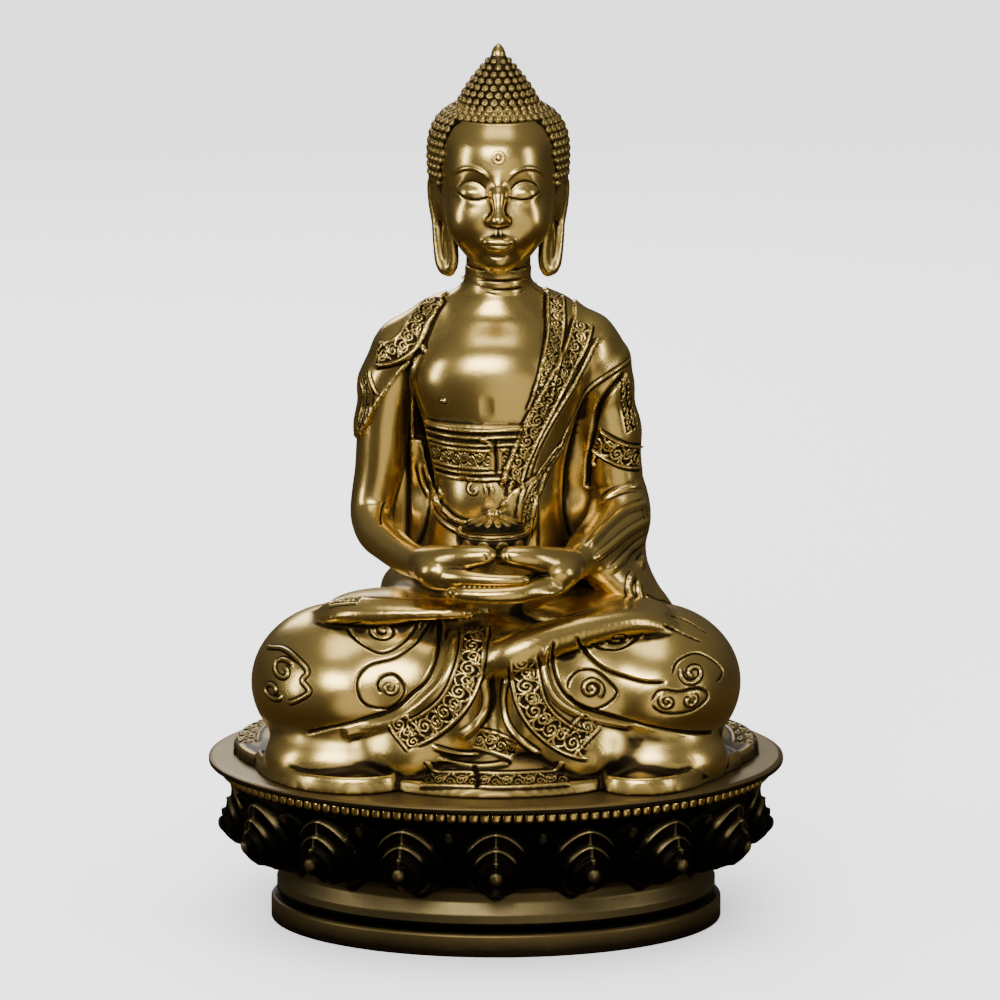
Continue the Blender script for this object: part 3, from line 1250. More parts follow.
def chase_torso(stroke):
    """Edges, borders and folds of the robe."""
    border = Band(6.6, SCROLL, depth=0.45, rim=0.55, raised=0.4)
    inner = Band(5.6, SMALL_SCROLL, depth=0.4, rim=0.45, raised=0.3, rim_width=0.9)
    # right shoulder: rolled edge, border and the sleeve's hem
    stroke([*LIP, (-30.6, 194.9), (-35.6, 193.0), (-41, 191.4)], Ridge(2.2, 1.0, taper=1.5, edge=0.5))
    stroke(
        [(-16.8, 217.8), (-22.6, 212.4), (-26.6, 206.8), (-29.4, 201.4), (-34, 197.6), (-40.5, 195.4)],
        Band(7.6, SCROLL, depth=0.45, rim=0.5, raised=0.3, rims=(1, 0.2)),
    )
    stroke(
        [(-42.6, 190.6), (-42.4, 187.4), (-40.8, 183.6), (-39.4, 181.8)], Ridge(1.5, 0.7, taper=1, edge=0.7),
    )
    stroke(
        [(-45.2, 188), (-43.6, 182), (-44.6, 175), (-46.6, 169)],
        Band(4.2, GRAIN, depth=0.35, rim=0.2, taper=0.6),
    )
    stroke(
        [(-28.9, 194.2), (-31.9, 190.8), (-36.1, 184.9), (-39.4, 180.2), (-42.8, 174.6), (-46.4, 167.4)],
        Ridge(1.7, 0.8, taper=0.8, edge=0.3),
    )
    # left side: the borders of the layers, the edges of the sash and the sleeve
    stroke([(20, 216), (20.2, 206), (18.7, 197), (15.8, 186), (13, 178)], inner)
    stroke(
        [(29.4, 207), (27, 199.5), (21.3, 189.5), (15.5, 178.5), (10.2, 168), (6.8, 160), (5, 153)], border,
    )
    stroke(
        [
            (35.4, 201.6), (33, 199.4), (28.4, 190.5), (21.6, 180), (14.7, 168), (9.6, 154), (7.6, 145),
            (7, 138),
        ],
        Ridge(1.8, 0.9, edge=0.7),
    )
    stroke(
        [(48.6, 194.4), (39, 189.6), (31, 184), (26.5, 176.5), (21.5, 166.5), (15.6, 154.4), (12, 143)],
        Ridge(1.8, 0.5, taper=0.8, edge=0.7),
    )
    stroke(
        [(44, 189), (38.5, 183.5), (34.8, 177), (32.6, 168), (31.6, 158), (31, 148)],
        Ridge(3.2, -1.5, taper=2),
    )
    stroke(
        [(44.6, 187), (44.2, 181), (45.4, 174), (46.4, 168.6)],
        Band(7, GRAIN, depth=0.4, rim=0.0, taper=1.0),
    )
    # the chest
    stroke([(-18.3, 182.4), (-17.8, 182.6), (-17.3, 182.4)], Ridge(2.0, 0.8, taper=0, edge=0.5))
    stroke([(-3.2, 186), (-3, 181), (-3, 176)], Ridge(6, -0.25, taper=4, dark=0.1))
    # the wrap: cords, a border with its knot, and the ends that hang from it
    for z in (173.4, 171.0, 168.4):
        stroke(
            [(-23.6, z), (-16, z - 0.4), (-8, z - 0.6), (0, z - 0.3), (9, z)],
            Ridge(1.5, 0.7, taper=1, edge=0.7),
        )
    stroke(
        [(-22.4, 163.6), (-15, 163.2), (-6, 163), (-1.4, 163.1)],
        Band(6.4, SMALL_SCROLL, depth=0.4, rim=0.4, raised=0.2),
    )
    stroke([(1.4, 163.2), (4.6, 163.6)], Band(6.4, SMALL_SCROLL, depth=0.4, rim=0.4, raised=0.2))
    stroke([(0.1, 170.6), (-0.3, 167.4), (0, 162.4), (0.1, 157.6)], Ridge(1.7, -0.7, taper=1))
    stroke([(-6, 169.9), (-3, 169.4), (-1.2, 167.6), (-1.6, 165.4)], Ridge(2.2, 0.8, taper=1.5, edge=0.5))
    for z in (158.8, 156.6):
        stroke([(-20.6, z), (-14, z - 0.4), (-7, z - 0.5), (2.6, z)], Ridge(1.4, 0.6, taper=1, edge=0.7))
    stroke(spiral((-7.4, 152.6), 2.5, 1.2, 90), Ridge(1.3, 0.7, edge=0.6))
    stroke([(-4.4, 155), (-3.2, 152.5), (-3.6, 149)], Ridge(1.4, 0.7, edge=0.6))
    stroke([(-2.2, 155), (-1.2, 152.5), (-1.8, 150)], Ridge(1.2, 0.6, edge=0.6))
    stroke(
        [
            (-24.7, 165.4), (-23.9, 159.4), (-22.2, 152.5), (-18.9, 146.5), (-15.5, 143.1), (-10, 141.3),
            (-3.7, 143.1), (1.3, 146.5), (4.4, 152.5), (6.2, 158),
        ],
        Ridge(1.9, 0.9, taper=1.5, edge=0.7),
    )
    stroke(
        [(-26.4, 158), (-24.6, 150), (-20.4, 142.6), (-14.5, 138.8), (-8, 137.8), (-1, 140), (4, 145)],
        Ridge(2.4, 0.7, edge=0.6),
    )
    # the left sleeve's lower end
    stroke(
        [(25, 170), (20, 163), (14.8, 155.4), (10.8, 147.5), (9.3, 136)],
        Band(4.4, GRAIN, depth=0.4, rim=0.3),
    )
    stroke(
        [(32.9, 166.6), (38.5, 163), (44.4, 160.2), (49.6, 158.8)],
        Band(7.6, SCROLL, depth=0.5, rim=0.7, raised=0.8),
    )
    stroke([(33.6, 161.6), (32.6, 158.4), (33.6, 156.2)], Ridge(2.2, 1.0, taper=1, edge=0.8))
    # folds on the back, the collar behind the neck and the end of the robe over the left shoulder
    stroke(
        [(-14, 216), (-9, 212.6), (0, 211.2), (10, 212.6), (16, 216)],
        Band(6, SCROLL, depth=0.4, rim=0.5, raised=0.4), "back",
    )
    folds = (
        (7, 1.5, [(27, 203), (20, 190), (9, 172), (-4, 154), (-16, 138), (-22, 126)]),
        (6.5, 1.4, [(34, 196), (28, 180), (18, 162), (6, 145), (-5, 130)]),
        (6.5, 1.3, [(20, 203), (12, 188), (0, 170), (-14, 154), (-24, 144)]),
        (6, 1.2, [(10, 206), (1, 193), (-12, 178), (-26, 166)]),
        (6, 1.2, [(38, 186), (34, 168), (27, 150), (18, 134)]),
    )
    for width, height, line in folds:
        stroke(line, Ridge(width, height, taper=12, edge=0.35), "back")
    stroke(
        [(30, 205), (36, 190), (38, 172), (36, 152), (34, 134)],
        Band(6.6, SCROLL, depth=0.4, rim=0.5, raised=0.5), "back",
    )


def make_torso():
    skin = torso_clay().skin().smooth(4)
    chase_torso(skin.stroke)
    carved = skin.chase(0.42)
    finish_skin(skin, "torso", ("torso", "right_arm_rivet", "left_arm_rivet"), carved)


def finger(clay, points, radii, blend):
    """A tube in short steps."""
    clay.tube(points, radii, blend, step=1.5)


def make_right_arm():
    """The bare arm, its hand on top of the other one, and its thumb."""
    clay = Clay((-54, -68, 112), (26, 18, 200), 0.55, shadow)
    arm = [
        (-33.6, 3.2, 189), (-36.6, 3.6, 181), (-38.2, 4, 170), (-38.7, 4, 162), (-39.5, 4, 154),
        (-41.2, 3.6, 146), (-42.2, 1, 139.4), (-40.4, -7, 134.8), (-36.2, -15, 132.6), (-31, -24, 130.6),
        (-24.5, -34, 129.8), (-18, -42, 129.8),
    ]
    clay.tube(arm, (7.6, 8.2, 8.3, 8.2, 7.9, 7.3, 6.7, 6.2, 5.8, 5.4, 5.0, 4.8), 1.5)
    clay.add(ellipsoid((-19.4, -47, 130.9), (8.0, 8.4, 6.0)), 4)
    clay.add(ellipsoid((-8.5, -49, 126.6), (14, 8.6, 2.2)), 3)
    finger(
        clay,
        [(-19, -50.5, 129.8), (-10, -57.6, 130), (1, -60, 129.9), (10, -59, 129.9)],
        (3.2, 2.2, 1.6, 1.2), 1.5,
    )
    finger(
        clay,
        [(-14, -48, 128), (-6, -55, 127), (4, -57, 127), (12.5, -55.6, 127)],
        (2.6, 1.8, 1.6, 1.4), 1.5,
    )
    finger(
        clay,
        [(-25, -40, 131.4), (-18.6, -47.6, 133.6), (-11, -53.2, 136), (-2.0, -55.6, 137.3)],
        (4.6, 4.0, 3.0, 2.2), 2.5,
    )
    skin = clay.skin().smooth(3)
    stroke = skin.stroke
    stroke([(-36.9, 146), (-38.8, 141.5), (-38.6, 138.6)], Ridge(1.6, -0.4, dark=0.5))
    stroke([(-4.2, 138.6), (-3.2, 137.4), (-3.4, 136)], Ridge(0.8, -0.3, taper=0.6, dark=0.7))
    carved = skin.chase(0.4)
    finish_skin(skin, "right_arm", ("right_arm",), carved)


def make_left_arm():
    """The arm in its hanging sleeve, its hand below the other one, and its thumb."""
    clay = Clay((-26, -68, 100), (74, 22, 174), 0.55, shadow)
    clay.tube(
        [
            (39.6, 6, 163), (40.4, 6, 152), (42, 4.6, 143), (41.4, -1, 137), (36, -13, 133.6),
            (29.5, -25, 131),
        ],
        (8.2, 8.3, 9.4, 9.8, 8.2, 6.2), 2,
    )
    clay.limb((30, -25, 131, 5.4), (26, -32, 129.6, 5.2), (19, -43, 127.8, 4.9), blend=3)
    # the sleeve, which hangs from the forearm to the knee
    clay.limb(
        (41, 2, 134, 9), (43, 0, 125, 6.9), (45.4, -4, 117, 6.4), (51, -9, 110.5, 5.6),
        (60, -12, 105.5, 4.0), blend=4,
    )
    clay.limb((34, -17, 129, 6.6), (41.6, -15.6, 119, 6.2), (48, -15, 111.6, 5.4), blend=6)
    clay.limb(
        (31, -23.5, 130.6, 4.8), (37, -21, 123.6, 4.8), (44, -19.6, 116, 4.8), (50, -18, 110.8, 4.6),
        blend=5,
    )
    clay.limb((40, -4, 128, 8), (44, -8, 118, 7), (50, -10, 110, 6), blend=5)
    clay.tube(
        [(27.5, -29, 132.8), (33, -26.4, 129.6), (37.6, -24, 123.6), (44, -22, 117), (51, -20, 112)],
        (1.6, 2.0, 2.2, 2.2, 1.6), 2,
    )
    clay.add(ellipsoid((20.4, -46.6, 130.2), (8.2, 8.4, 6.2)), 4)
    clay.add(ellipsoid((8.5, -50.5, 124.9), (14.5, 9.6, 2.8)), 3)
    finger(
        clay,
        [(18, -51, 126.6), (9, -59, 125.4), (-2, -61.2, 125), (-12.5, -60, 125.2)],
        (3.4, 2.6, 2.2, 1.7), 1.5,
    )
    finger(
        clay,
        [(14, -49, 125.6), (5, -56, 125.0), (-5, -58, 124.8), (-14.5, -57, 125)],
        (3, 2.6, 2.4, 2.0), 1.5,
    )
    finger(
        clay,
        [(11, -46, 125.6), (3, -51.5, 125), (-6, -53.6, 124.8), (-15, -52.4, 125)],
        (3, 2.7, 2.4, 2.0), 1.5,
    )
    finger(
        clay,
        [(26, -40, 130.4), (19.6, -47.4, 133), (12.4, -53.2, 135.8), (3.6, -55.6, 137.3)],
        (4.6, 4.0, 3.0, 2.2), 2.5,
    )
    skin = clay.skin().smooth(3)
    stroke = skin.stroke
    folds = [
        [(49.5, 149.6), (43, 149.4), (36.5, 146), (31.6, 141.5)],
        [(51.5, 144), (44, 143.4), (36.5, 139.6), (30, 134.8)],
        [(52, 138.6), (45, 137), (38, 133.6), (32, 130.6)],
        [(51.8, 133), (46, 131), (40.6, 127.6), (37, 125)],
        [(50.6, 127), (46.6, 124), (43, 120.6)],
    ]
    for line in folds:
        stroke(line, Ridge(3.6, 0.9, taper=4, edge=0.35))
    # folds and borders of the sleeve's hanging end
    stroke([(49.4, 126), (48, 119.6), (50.4, 113), (57.4, 107.4)], Ridge(3.0, 0.8, taper=4, edge=0.4))
    stroke([(45, 124), (44.6, 118.4), (48, 112.6)], Ridge(2.6, 0.7, taper=3, edge=0.4))
    stroke([(51, 142), (51.4, 136), (50, 129.6)], Band(3.6, GRAIN, depth=0.35, rim=0.2, taper=1))
    stroke(
        [(49, 113.8), (54, 110.8), (60, 107.6), (65, 104.6)], Band(6.0, GRAIN, depth=0.4, rim=0.3, taper=1),
    )
    stroke([(3.4, 138.6), (4.4, 137.4), (4.2, 136)], Ridge(0.8, -0.3, taper=0.6, dark=0.7))
    carved = skin.chase(0.4)
    finish_skin(skin, "left_arm", ("left_arm",), carved)


def turned(name, profile, centre, slot, material, body, nodes, patina, sides, relief=None):
    """A profile of (radius, z), turned about an upright axis. relief gives a push outwards and a patina."""
    p = np.array(profile, float)
    angle = np.linspace(0, 2 * math.pi, sides, endpoint=False)
    radius = np.broadcast_to(p[:, 0], (sides, len(p)))
    z = np.broadcast_to(p[:, 1], radius.shape)
    if relief is not None:
        slope = unit(np.gradient(p, axis=0))
        push, patina = relief(angle[:, None] + math.pi / 2, p[None, :, 0], p[None, :, 1])
        radius, z = radius + push * slope[:, 1], z - push * slope[:, 0]
    x = centre[0] + np.cos(angle)[:, None] * radius
    y = centre[1] + np.sin(angle)[:, None] * radius
    points = np.stack([x, y, z], -1).reshape(-1, 3)
    values = np.broadcast_to(patina, x.shape)
    piece(name, points, ring_faces(sides, len(p)), slot, material, body, nodes, values.ravel())


BOWL_AXIS = (-1.0, -37.0)
PALM_BEADS = 13


def make_bowl():
    """The alms bowl, its lid and the beads under the hands."""
    bowl = smooth_line(
        [
            (6.4, 132.9), (7.3, 133.3), (9.4, 134.8), (11.4, 137.4), (12.1, 139.6), (11.9, 141.2),
            (12.3, 141.9), (11.4, 142.4), (10.3, 141.7),
        ],
        0.22,
    )
    inside = smooth_line([(10.3, 141.7), (10.2, 139.6), (9, 137), (6, 135.6), (0.05, 135.2)], 0.5)[1:]
    profile = np.vstack([[(0.05, 132.9)], bowl, inside])

    def lotus(angle, radius, z):
        """Upturned petals round the outside."""
        a = np.abs((angle * 12 / (2 * math.pi)) % 1 - 0.5) * 2
        petal = 1 - a**2 - ((z - 135.4) / 5.4) ** 2
        outside = (radius > 7.2) & (z < 141) & ~((radius < 10.6) & (z > 135.6))
        rim = bell(petal, 0.13)
        push = (0.5 * ease(petal / 0.2) + 0.3 * rim) * outside
        return push, np.where(outside, 0.9 - 0.9 * ease(petal / 0.3) * (0.8 + 0.2 * rim), 0.05) + 0 * push

    turned("alms_bowl", profile, BOWL_AXIS, "bowl_brass", BOWL, "bowl", ("alms_bowl",), None, 144, lotus)
    lid = smooth_line(
        [
            (10.6, 142.7), (10.2, 143.5), (7, 145.2), (3, 146), (1.7, 146.4), (2.3, 147.4), (1.8, 148.5),
            (0.05, 148.9),
        ],
        0.22,
    )
    profile = np.vstack([[(0.05, 142.3), (10.2, 142.3)], lid])

    def leaves(angle, radius, z):
        """Petals on the lid, pointing outwards from the knob."""
        a = np.abs((angle * 14 / (2 * math.pi)) % 1 - 0.5) * 2
        petal = 1 - a**2 - ((radius - 4.6) / 4.6) ** 2
        outside = (radius > 2.6) & (z > 142.8)
        rim = bell(petal, 0.15)
        push = (0.5 * ease(petal / 0.25) + 0.3 * rim) * outside
        knob = 0.16 * np.cos(angle * 8) * (radius < 2.5) * (z > 146.6)
        return push + knob, np.where(outside, 0.9 - 0.9 * ease(petal / 0.35), 0.0) + 0 * push

    turned("bowl_lid", profile, BOWL_AXIS, "bowl_brass", BOWL, "lid", ("bowl_lid",), None, 160, leaves)
    # the row of small beads under the right hand's fingers
    beads = []
    p, f, d = curl(0.8, 0.75, groove=0.0, rings=5, sides=14)
    for x in np.linspace(-10.4, 9.6, PALM_BEADS):
        y = -60.6 + 0.011 * x * x
        beads.append(
            (np.array([x, y, 127.5]) + np.column_stack([p[:, 0], -p[:, 2], p[:, 1]]), triangles(f))
        )
    patina = np.tile(d * 0.8, PALM_BEADS)
    piece("palm_beads", *joined(beads), "figure_brass", FIGURE, patina=patina)


M = 0.8  # x of the head's middle
STUD_Z = 264.6
# the lowest hair, as height by the angle from the front
HAIRLINE = (
    (0, 275.2), (40, 275), (48, 273), (53, 267), (57, 257), (61, 250), (75, 250), (100, 249), (125, 243),
    (180, 240),
)


def hairline(x, y):
    """Height above which hair grows at a place on the head."""
    turn = np.degrees(np.abs(np.arctan2(x - M, -(y - 5.5))))
    return np.interp(turn, *np.array(HAIRLINE).T)


def head_clay():
    """Neck, face, ears and the mass of the hair, which make_hair() covers with curls."""
    clay = Clay((-28, -32, 214), (30, 32, 300), 0.42, shadow)
    clay.limb((M, 3, 214, 11.2), (M, 3, 229, 10.8), blend=1)
    skull = [
        (225.4, 4.5, 6.5, -9.0), (227, 8.0, 10.0, -7.0), (230, 11.4, 13.8, -4.6), (234, 14.4, 16.6, -2.8),
        (239, 16.9, 18.4, -1.6), (245, 18.6, 19.5, -0.8), (252, 19.4, 20.2, -0.2), (260, 19.6, 20.4, 0),
        (268, 18.6, 19.6, 0.6), (275, 15, 16, 2),
    ]
    clay.add(column([(z, a, b, M, y) for z, a, b, y in skull], 2.15), 3)
    cap = [
        (236, 15, 14), (242, 19, 17.5), (248, 21.3, 19.4), (254, 22.5, 20.3), (260, 22.9, 20.7),
        (265, 22.9, 20.6), (269.5, 22.2, 20), (273.5, 20.4, 18.6), (276.5, 17.6, 16.4), (278.6, 14, 13),
    ]
    clay.add(column([(z, a, b, M, 6.0) for z, a, b in cap]), 2)
    for side in (-1, 1):
        clay.add(ellipsoid((M + side * 8.6, -12.6, 242.5), (7.6, 7.0, 8.0)), 6)  # cheek
        clay.cut(ellipsoid((M + side * 8.2, -26.0, 254.8), (6.2, 6.6, 3.4)), 4)  # eye socket
        clay.add(ellipsoid((M + side * 8.2, -14.2, 252.4), (5.8, 5.4, 3.6)), 1.4)  # lids
        clay.add(ellipsoid((M + side * 8.2, -14.7, 249.3), (5.0, 4.6, 1.9)), 1.4)
        clay.add(ellipsoid((M + side * 2.6, -21.4, 243.6), (1.7, 2.5, 1.5)), 1.2)  # wing of the nose
        clay.add(ellipsoid((M + side * 1.7, -21.3, 236.6), (3.2, 1.6, 1.05)), 0.9)  # half of the upper lip
    # the nose and its tip, the mouth's mound, the lower lip and the chin
    clay.limb((M, -17.6, 257.5, 1.6), (M, -21.2, 252, 1.5), (M, -24.2, 245, 2.0), blend=3)
    clay.add(ellipsoid((M, -24.0, 244.0), (2.4, 2.6, 1.9)), 1.4)
    clay.add(ellipsoid((M, -17.8, 236), (6.0, 3.4, 3.8)), 4)
    clay.add(ellipsoid((M, -21.1, 234.5), (3.6, 1.7, 1.2)), 0.9)
    clay.add(ellipsoid((M, -16.4, 229.2), (4.4, 3.8, 3.2)), 4)
    crown = [
        (270, 14), (276, 13.8), (280, 12.9), (283.5, 11.2), (287, 9.0), (290, 6.8), (293, 4.5), (295, 3.0),
        (297, 1.8),
    ]
    clay.add(column([(z, r, r, M, 4.0) for z, r in crown]), 2)
    # ears: the outer edge, the long lobe, the flesh between them and the inner edge
    ear = [
        (18.6, -0.8, 247), (19.6, 0.2, 252.6), (21.0, 3.0, 255.0), (22.2, 5.6, 252.2), (21.9, 5.8, 246),
        (20.7, 4.6, 239),
    ]
    lobe = [
        (20.7, 4.6, 239), (20.0, 3.8, 231), (18.8, 2.4, 225.0), (16.6, 1.2, 223.4), (15.2, 0.0, 227.6),
        (15.8, -0.8, 236), (17.8, -1.0, 246),
    ]
    inner = [(19.8, 0.2, 251.5), (21.4, 3.0, 252), (21.4, 4.0, 247), (19.8, 1.2, 242.6)]
    for side in (-1, 1):
        clay.tube(on_side(side, ear, M), 1.6, 0.8, 2.0)
        clay.tube(on_side(side, lobe, M), (1.6, 1.8, 2.1, 2.1, 1.8, 1.6, 1.5), 0.8, 2.0)
        clay.add(ellipsoid((M + side * 19.6, 2.6, 247), (2.0, 4.2, 7)), 1.5)
        clay.add(ellipsoid((M + side * 17.8, 2.0, 233), (1.3, 2.6, 10)), 1.5)
        clay.tube(on_side(side, inner, M), 0.9, 0.6, 2.0)
    return clay


def chase_head(stroke):
    # brow, crease of the lid, closed eye, nostril, side of the nostril and upper lip's groove
    marks = (
        (
            Ridge(2.0, 0.5, taper=5),
            [(2.6, 256.4), (4.8, 259.2), (8.4, 260.9), (12.4, 260.3), (16.0, 257.4)],
        ),
        (
            Ridge(1.0, -0.26, taper=2.5, dark=0.6),
            [(3.6, 253.4), (5.8, 255.6), (8.6, 256.6), (11.6, 255.8), (14.2, 253.6)],
        ),
        (
            Ridge(1.0, -0.5, taper=1.5, dark=1),
            [(3.2, 251.6), (5.6, 250.9), (8.4, 250.5), (11.4, 251.1), (14.4, 252.9)],
        ),
        (Ridge(1.1, -0.4, taper=0.8, dark=0.9), [(1.2, 242.3), (2.2, 242.0), (3.1, 242.4)]),
        (Ridge(1.0, -0.25, taper=1.2), [(3.8, 245.2), (4.4, 243.6), (3.9, 242.2)]),
        (Ridge(0.9, 0.18, taper=1), [(0.7, 241.0), (0.8, 238.4)]),
    )
    for side in (-1, 1):
        for tool, line in marks:
            stroke(on_side(side, line, M), tool)
    # between the lips, under the lower lip, round the stud and round the neck
    mouth = [
        (-5.4, 236.2), (-3.0, 235.5), (-1.1, 235.7), (0, 235.5), (1.1, 235.7), (3.0, 235.5), (5.4, 236.2),
    ]
    stroke(on_side(1, mouth, M), Ridge(0.9, -0.4, taper=1, dark=1))
    stroke([(M - 3.5, 231.7), (M, 231.2), (M + 3.5, 231.7)], Ridge(1.6, -0.25, taper=2, dark=0.2))
    ring = [(M + 1.9 * math.cos(a), STUD_Z + 1.9 * math.sin(a)) for a in np.linspace(0, 6.4, 25)]
    stroke(ring, Ridge(0.8, 0.15, taper=0, edge=0.3))
    for z in (224.6, 221.2, 218.2):
        for view in ("front", "back"):
            stroke(
                [(M + x, z + 0.004 * x * x) for x in np.linspace(-11, 11, 9)],
                Ridge(1.3, -0.45, taper=2), view,
            )


def make_head():
    skin = head_clay().skin().smooth(3)
    chase_head(skin.stroke)
    carved = skin.chase(0.36)
    # dark between the curls, but not on the ears
    p = skin.points
    under_hair = ease((p[:, 2] - hairline(p[:, 0], p[:, 1]) + 0.6) / 1.2) * (
        np.hypot(p[:, 0] - M, p[:, 1] - 5) > 1
    )
    ear_part = ease((np.abs(p[:, 0] - M) - 18.2) / 0.8) * (p[:, 2] < 256.5) * (p[:, 1] < 9) * (p[:, 1] > -4)
    finish_skin(skin, "head", ("head", "neck_pin"), np.maximum(carved, 0.95 * under_hair * (1 - ear_part)))
    make_hair(skin)


def curl(radius, height, turn=0.0, rings=7, sides=16, groove=0.16):
    """A small dome with a snail groove: its points about the origin, its faces and its patina."""
    share = np.linspace(0, 1, rings + 1)[1:]
    angle = np.linspace(0, 2 * math.pi, sides, endpoint=False)
    r, a = np.meshgrid(share, angle, indexing="ij")
    wave = 0.5 + 0.5 * np.cos(a + turn - 2 * math.pi * 1.6 * r)
    fall = np.sqrt(np.maximum(1 - r**2.4, 0))
    up = height * (fall - groove * wave * (1 - r**4)) - 0.5 * (r == 1)
    wide = radius * r * (1 - 0.06 * (r == 1))
    points = np.stack([wide * np.cos(a), wide * np.sin(a), up], -1).reshape(-1, 3)
    points = np.vstack([[(0, 0, height)], points])
    patina = np.concatenate([[0.0], (0.15 + 0.6 * wave * (1 - r**4) + 0.9 * r**6).ravel()])
    faces = []
    for k in range(sides):
        n = (k + 1) % sides
        faces.append((0, 1 + k, 1 + n, 1 + n))
        for j in range(rings - 1):
            low, high = 1 + j * sides, 1 + (j + 1) * sides
            faces.append((low + k, high + k, high + n, low + n))
    return points, faces, patina


def make_hair(skin):
    """Rows of curls round the head and up the crown, with the bud at the top."""
    tree = skin.tree()
    axis = np.array([M, 5.0])
    line = []
    for z in np.arange(240, 295.5, 0.25):
        hit = tree.ray_cast(Vector((60, 6, z)), Vector((-1, 0, 0)))[0]
        if hit is not None:
            line.append((hit.x - M, z))
    line = np.array(line)
    line[:, 0] = np.where(line[:, 1] < 264, np.minimum(line[:, 0], 22.8), line[:, 0])
    reach = np.concatenate([[0], np.cumsum(np.hypot(*np.diff(line, axis=0).T))])
    row_gap, curl_gap, curl_radius = 2.62, 3.05, 1.66
    rows = np.interp(np.arange(0.8, reach[-1] - 0.6, row_gap), reach, line[:, 1])
    curls, patina = [], []
    for number, z in enumerate(rows):
        middle = axis + (np.array([M, 4.0]) - axis) * ease((z - 270) / 12)
        radius = np.interp(z, line[:, 1], line[:, 0])
        count = max(5, int(round(2 * math.pi * (radius + 0.4) / curl_gap)))
        for k in range(count):
            a = 2 * math.pi * (k + 0.5 * (number % 2)) / count
            way = np.array([math.sin(a), -math.cos(a)])
            start = middle + way * 60
            hit, normal, _, _ = tree.ray_cast(Vector((*start, z)), Vector((*-way, 0)))
            if hit is None or hit.z < hairline(np.array(hit.x), np.array(hit.y)) + 0.6:
                continue
            if abs(hit.x - M) > 18 and hit.z < 255.6 and -4 < hit.y < 8.6:  # an ear
                continue
            out = np.array(normal) * 0.8 + np.array([way[0], way[1], 0.25]) * 0.4
            out /= np.linalg.norm(out)
            side = np.cross([0, 0, 1.0], out)
            side /= np.linalg.norm(side)
            up = np.cross(out, side)
            size = curl_radius - 0.03 * max(z - 278, 0)
            p, f, d = curl(size, size * 0.92, turn=a * 3 + number)
            points = np.array(hit) + p[:, :1] * side + p[:, 1:2] * up + (p[:, 2:] - 0.1) * out
            curls.append((points, np.array(f)))
            patina.append(d)
    points, faces = joined(curls)
    piece(
        "hair_curls", points, triangles(faces), "figure_brass", FIGURE, patina=np.concatenate(patina) * 0.9,
    )
    bud = smooth_line(
        [
            (0.05, 293), (2.9, 293.2), (3.1, 294.2), (2.4, 295.0), (2.5, 295.8), (2.2, 297.2), (1.3, 298.8),
            (0.05, 299.9),
        ],
        0.2,
    )
    patina = 0.1 + 0.6 * np.exp(-((bud[:, 1] - 295.0) ** 2) * 3)
    turned("crown_finial", bud, (M, 4.0), "figure_brass", FIGURE, "root", ("crown_finial",), patina, 40)
    # the stud, on the forehead
    hit, normal, _, _ = tree.ray_cast(Vector((M, -60, STUD_Z)), Vector((0, 1, 0)))
    out = np.array(normal)
    side = np.array([1.0, 0, 0])
    up = np.cross(out, side)
    p, f, _ = curl(1.3, 0.95, groove=0.0, rings=8, sides=24)
    points = np.array(hit) + p[:, :1] * side + p[:, 1:2] * -up + p[:, 2:] * out
    radius = np.hypot(p[:, 0], p[:, 1])
    patina = 0.8 * ease((radius - 0.9) / 0.4)
    faces = triangles(f)[:, ::-1]
    piece("forehead_stud", points, faces, "figure_brass", FIGURE, nodes=("forehead_stud",), patina=patina)


def finish_hidden_pieces():
    """Materials for the CAD pieces that stay as they are, under and inside the throne."""
    for name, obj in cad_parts.items():
        if name == "closing_plate":
            material = THRONE
        elif name.startswith(("plate_screw", "tie_")):
            material = STEEL
        else:
            continue
        obj.data.materials.clear()
        obj.data.materials.append(material)


# The order matters: each clay is also added to the shadow, in which the skins after it look for shelter.
make_throne()
make_legs()
make_torso()
make_right_arm()
make_left_arm()
make_head()
make_bowl()
finish_hidden_pieces()


# Camera, floor and light


def look(obj, target):
    way = Vector(target) - obj.location
    obj.rotation_euler = way.to_track_quat("-Z", "Y").to_euler()


def area_light(name, place, target, width, height, power):
    data = bpy.data.lights.new(name, "AREA")
    data.shape, data.size, data.size_y = "RECTANGLE", width, height
    data.energy = power
    obj = bpy.data.objects.new(name, data)
    obj.location = place
    bpy.context.scene.collection.objects.link(obj)
    look(obj, target)


AIM = (0.0, 0.0, 0.150)
ELEVATION = math.radians(11.5)
DISTANCE = 2.2
# what the brass reflects: a warm dark ground, a dim room and a lighter ceiling
ROOM = (
    (0.0, (0.05, 0.032, 0.016)), (0.38, (0.07, 0.048, 0.025)), (0.50, (0.035, 0.031, 0.026)),
    (0.62, (0.075, 0.07, 0.06)), (1.0, (0.22, 0.22, 0.21)),
)
# and a pale table top that reaches in from the front: vertical metal shows it
TABLE_WAY, TABLE_COLOUR = (0.30, -0.92, -0.25), (1.05, 0.98, 0.83, 1)
TABLE_EDGE = (0.86, 0.95)


def make_camera():
    data = bpy.data.cameras.new("camera")
    data.sensor_width, data.lens = 36.0, 234.1
    data.shift_x, data.shift_y = 0.0040, -0.0156
    camera = bpy.data.objects.new("camera", data)
    camera.location = (0, -DISTANCE * math.cos(ELEVATION), AIM[2] + DISTANCE * math.sin(ELEVATION))
    bpy.context.scene.collection.objects.link(camera)
    look(camera, AIM)
    bpy.context.scene.camera = camera


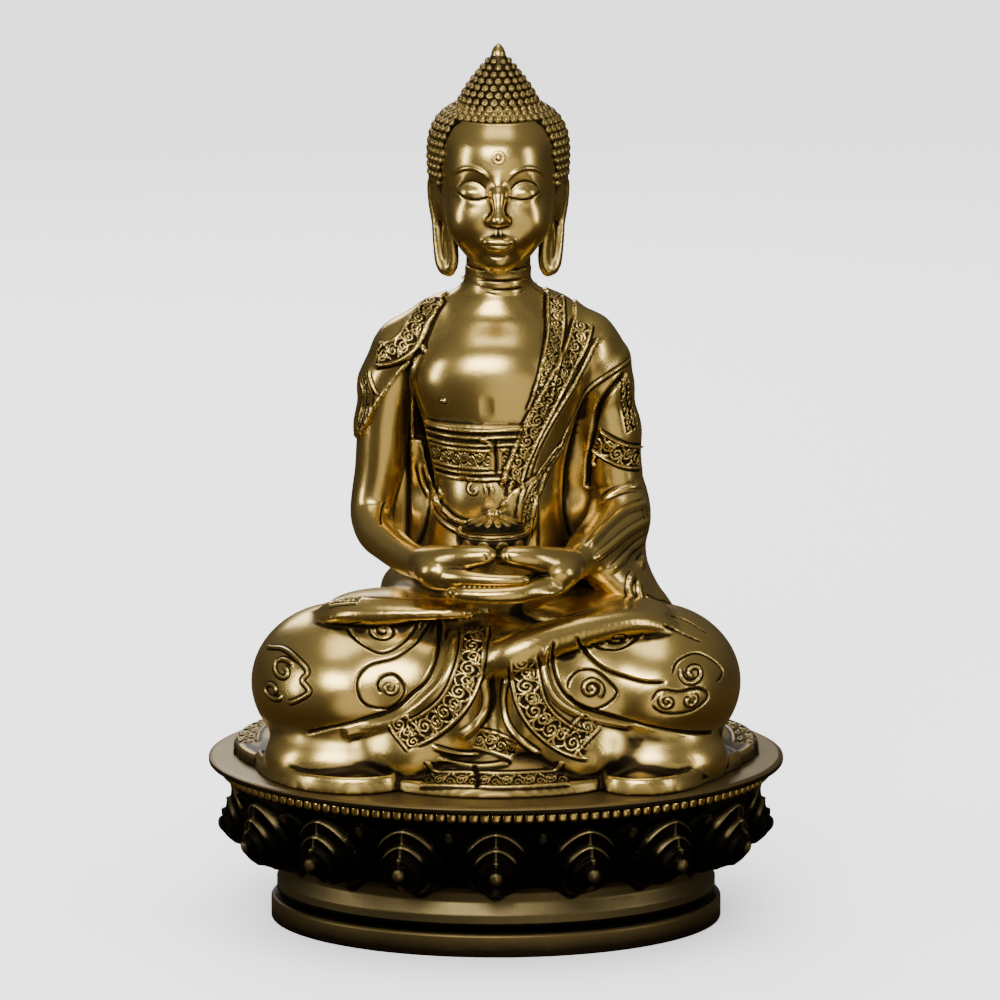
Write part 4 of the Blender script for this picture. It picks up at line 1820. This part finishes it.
def make_floor():
    """A wide pale floor. The brass doesn't reflect it, but the room and the table top."""
    mesh = bpy.data.meshes.new("floor")
    mesh.from_pydata([(-40, -40, 0), (40, -40, 0), (40, 40, 0), (-40, 40, 0)], [], [(0, 1, 2, 3)])
    floor = bpy.data.objects.new("floor", mesh)
    bpy.context.scene.collection.objects.link(floor)
    paper = bpy.data.materials.new("pale_floor")
    paper.use_nodes = True
    shader = paper.node_tree.nodes["Principled BSDF"]
    shader.inputs["Base Color"].default_value = (0.86, 0.86, 0.86, 1)
    shader.inputs["Roughness"].default_value = 0.9
    mesh.materials.append(paper)
    floor.visible_glossy = False


def make_world():
    """Plain and pale, except in reflections, which show the room and the table top."""
    world = bpy.data.worlds.new("studio")
    bpy.context.scene.world = world
    world.use_nodes = True
    nodes, links = world.node_tree.nodes, world.node_tree.links
    direction, height = nodes.new("ShaderNodeTexCoord"), nodes.new("ShaderNodeSeparateXYZ")
    heights, room = nodes.new("ShaderNodeMapRange"), nodes.new("ShaderNodeValToRGB")
    heights.inputs["From Min"].default_value = -1.0
    fill_ramp(room.color_ramp, ROOM)
    links.new(direction.outputs["Generated"], height.inputs[0])
    links.new(height.outputs["Z"], heights.inputs[0])
    links.new(heights.outputs[0], room.inputs[0])
    toward, edge = nodes.new("ShaderNodeVectorMath"), nodes.new("ShaderNodeMapRange")
    toward.operation, edge.interpolation_type = "DOT_PRODUCT", "SMOOTHSTEP"
    toward.inputs[1].default_value = TABLE_WAY
    edge.inputs["From Min"].default_value, edge.inputs["From Max"].default_value = TABLE_EDGE
    whole = nodes.new("ShaderNodeMix")
    whole.data_type = "RGBA"
    whole.inputs["B"].default_value = TABLE_COLOUR
    links.new(direction.outputs["Generated"], toward.inputs[0])
    links.new(toward.outputs["Value"], edge.inputs[0])
    links.new(edge.outputs[0], whole.inputs["Factor"])
    links.new(room.outputs[0], whole.inputs["A"])
    reflected, pale = nodes["Background"], nodes.new("ShaderNodeBackground")
    reflected.inputs["Strength"].default_value = 1.0
    links.new(whole.outputs["Result"], reflected.inputs["Color"])
    pale.inputs["Color"].default_value = (0.95, 0.95, 0.95, 1)
    pale.inputs["Strength"].default_value = 2.7
    mixer, rays = nodes.new("ShaderNodeMixShader"), nodes.new("ShaderNodeLightPath")
    links.new(rays.outputs["Is Glossy Ray"], mixer.inputs[0])
    links.new(pale.outputs[0], mixer.inputs[1])
    links.new(reflected.outputs[0], mixer.inputs[2])
    links.new(mixer.outputs[0], nodes["World Output"].inputs["Surface"])


make_camera()
make_floor()
make_world()
area_light("key", (-0.18, -1.2, 0.80), (0, 0, 0.19), 0.75, 0.5, 21)
area_light("overhead", (0, -0.15, 1.7), (0, 0, 0.1), 0.9, 0.9, 10)
area_light("side", (1.3, -0.75, 0.45), (0, 0, 0.15), 0.16, 0.8, 6)
area_light("left", (-1.35, -0.6, 0.5), (0, 0, 0.15), 0.2, 0.8, 8)
area_light("back", (-0.3, 1.3, 0.9), (0, 0, 0.2), 0.9, 0.6, 11)
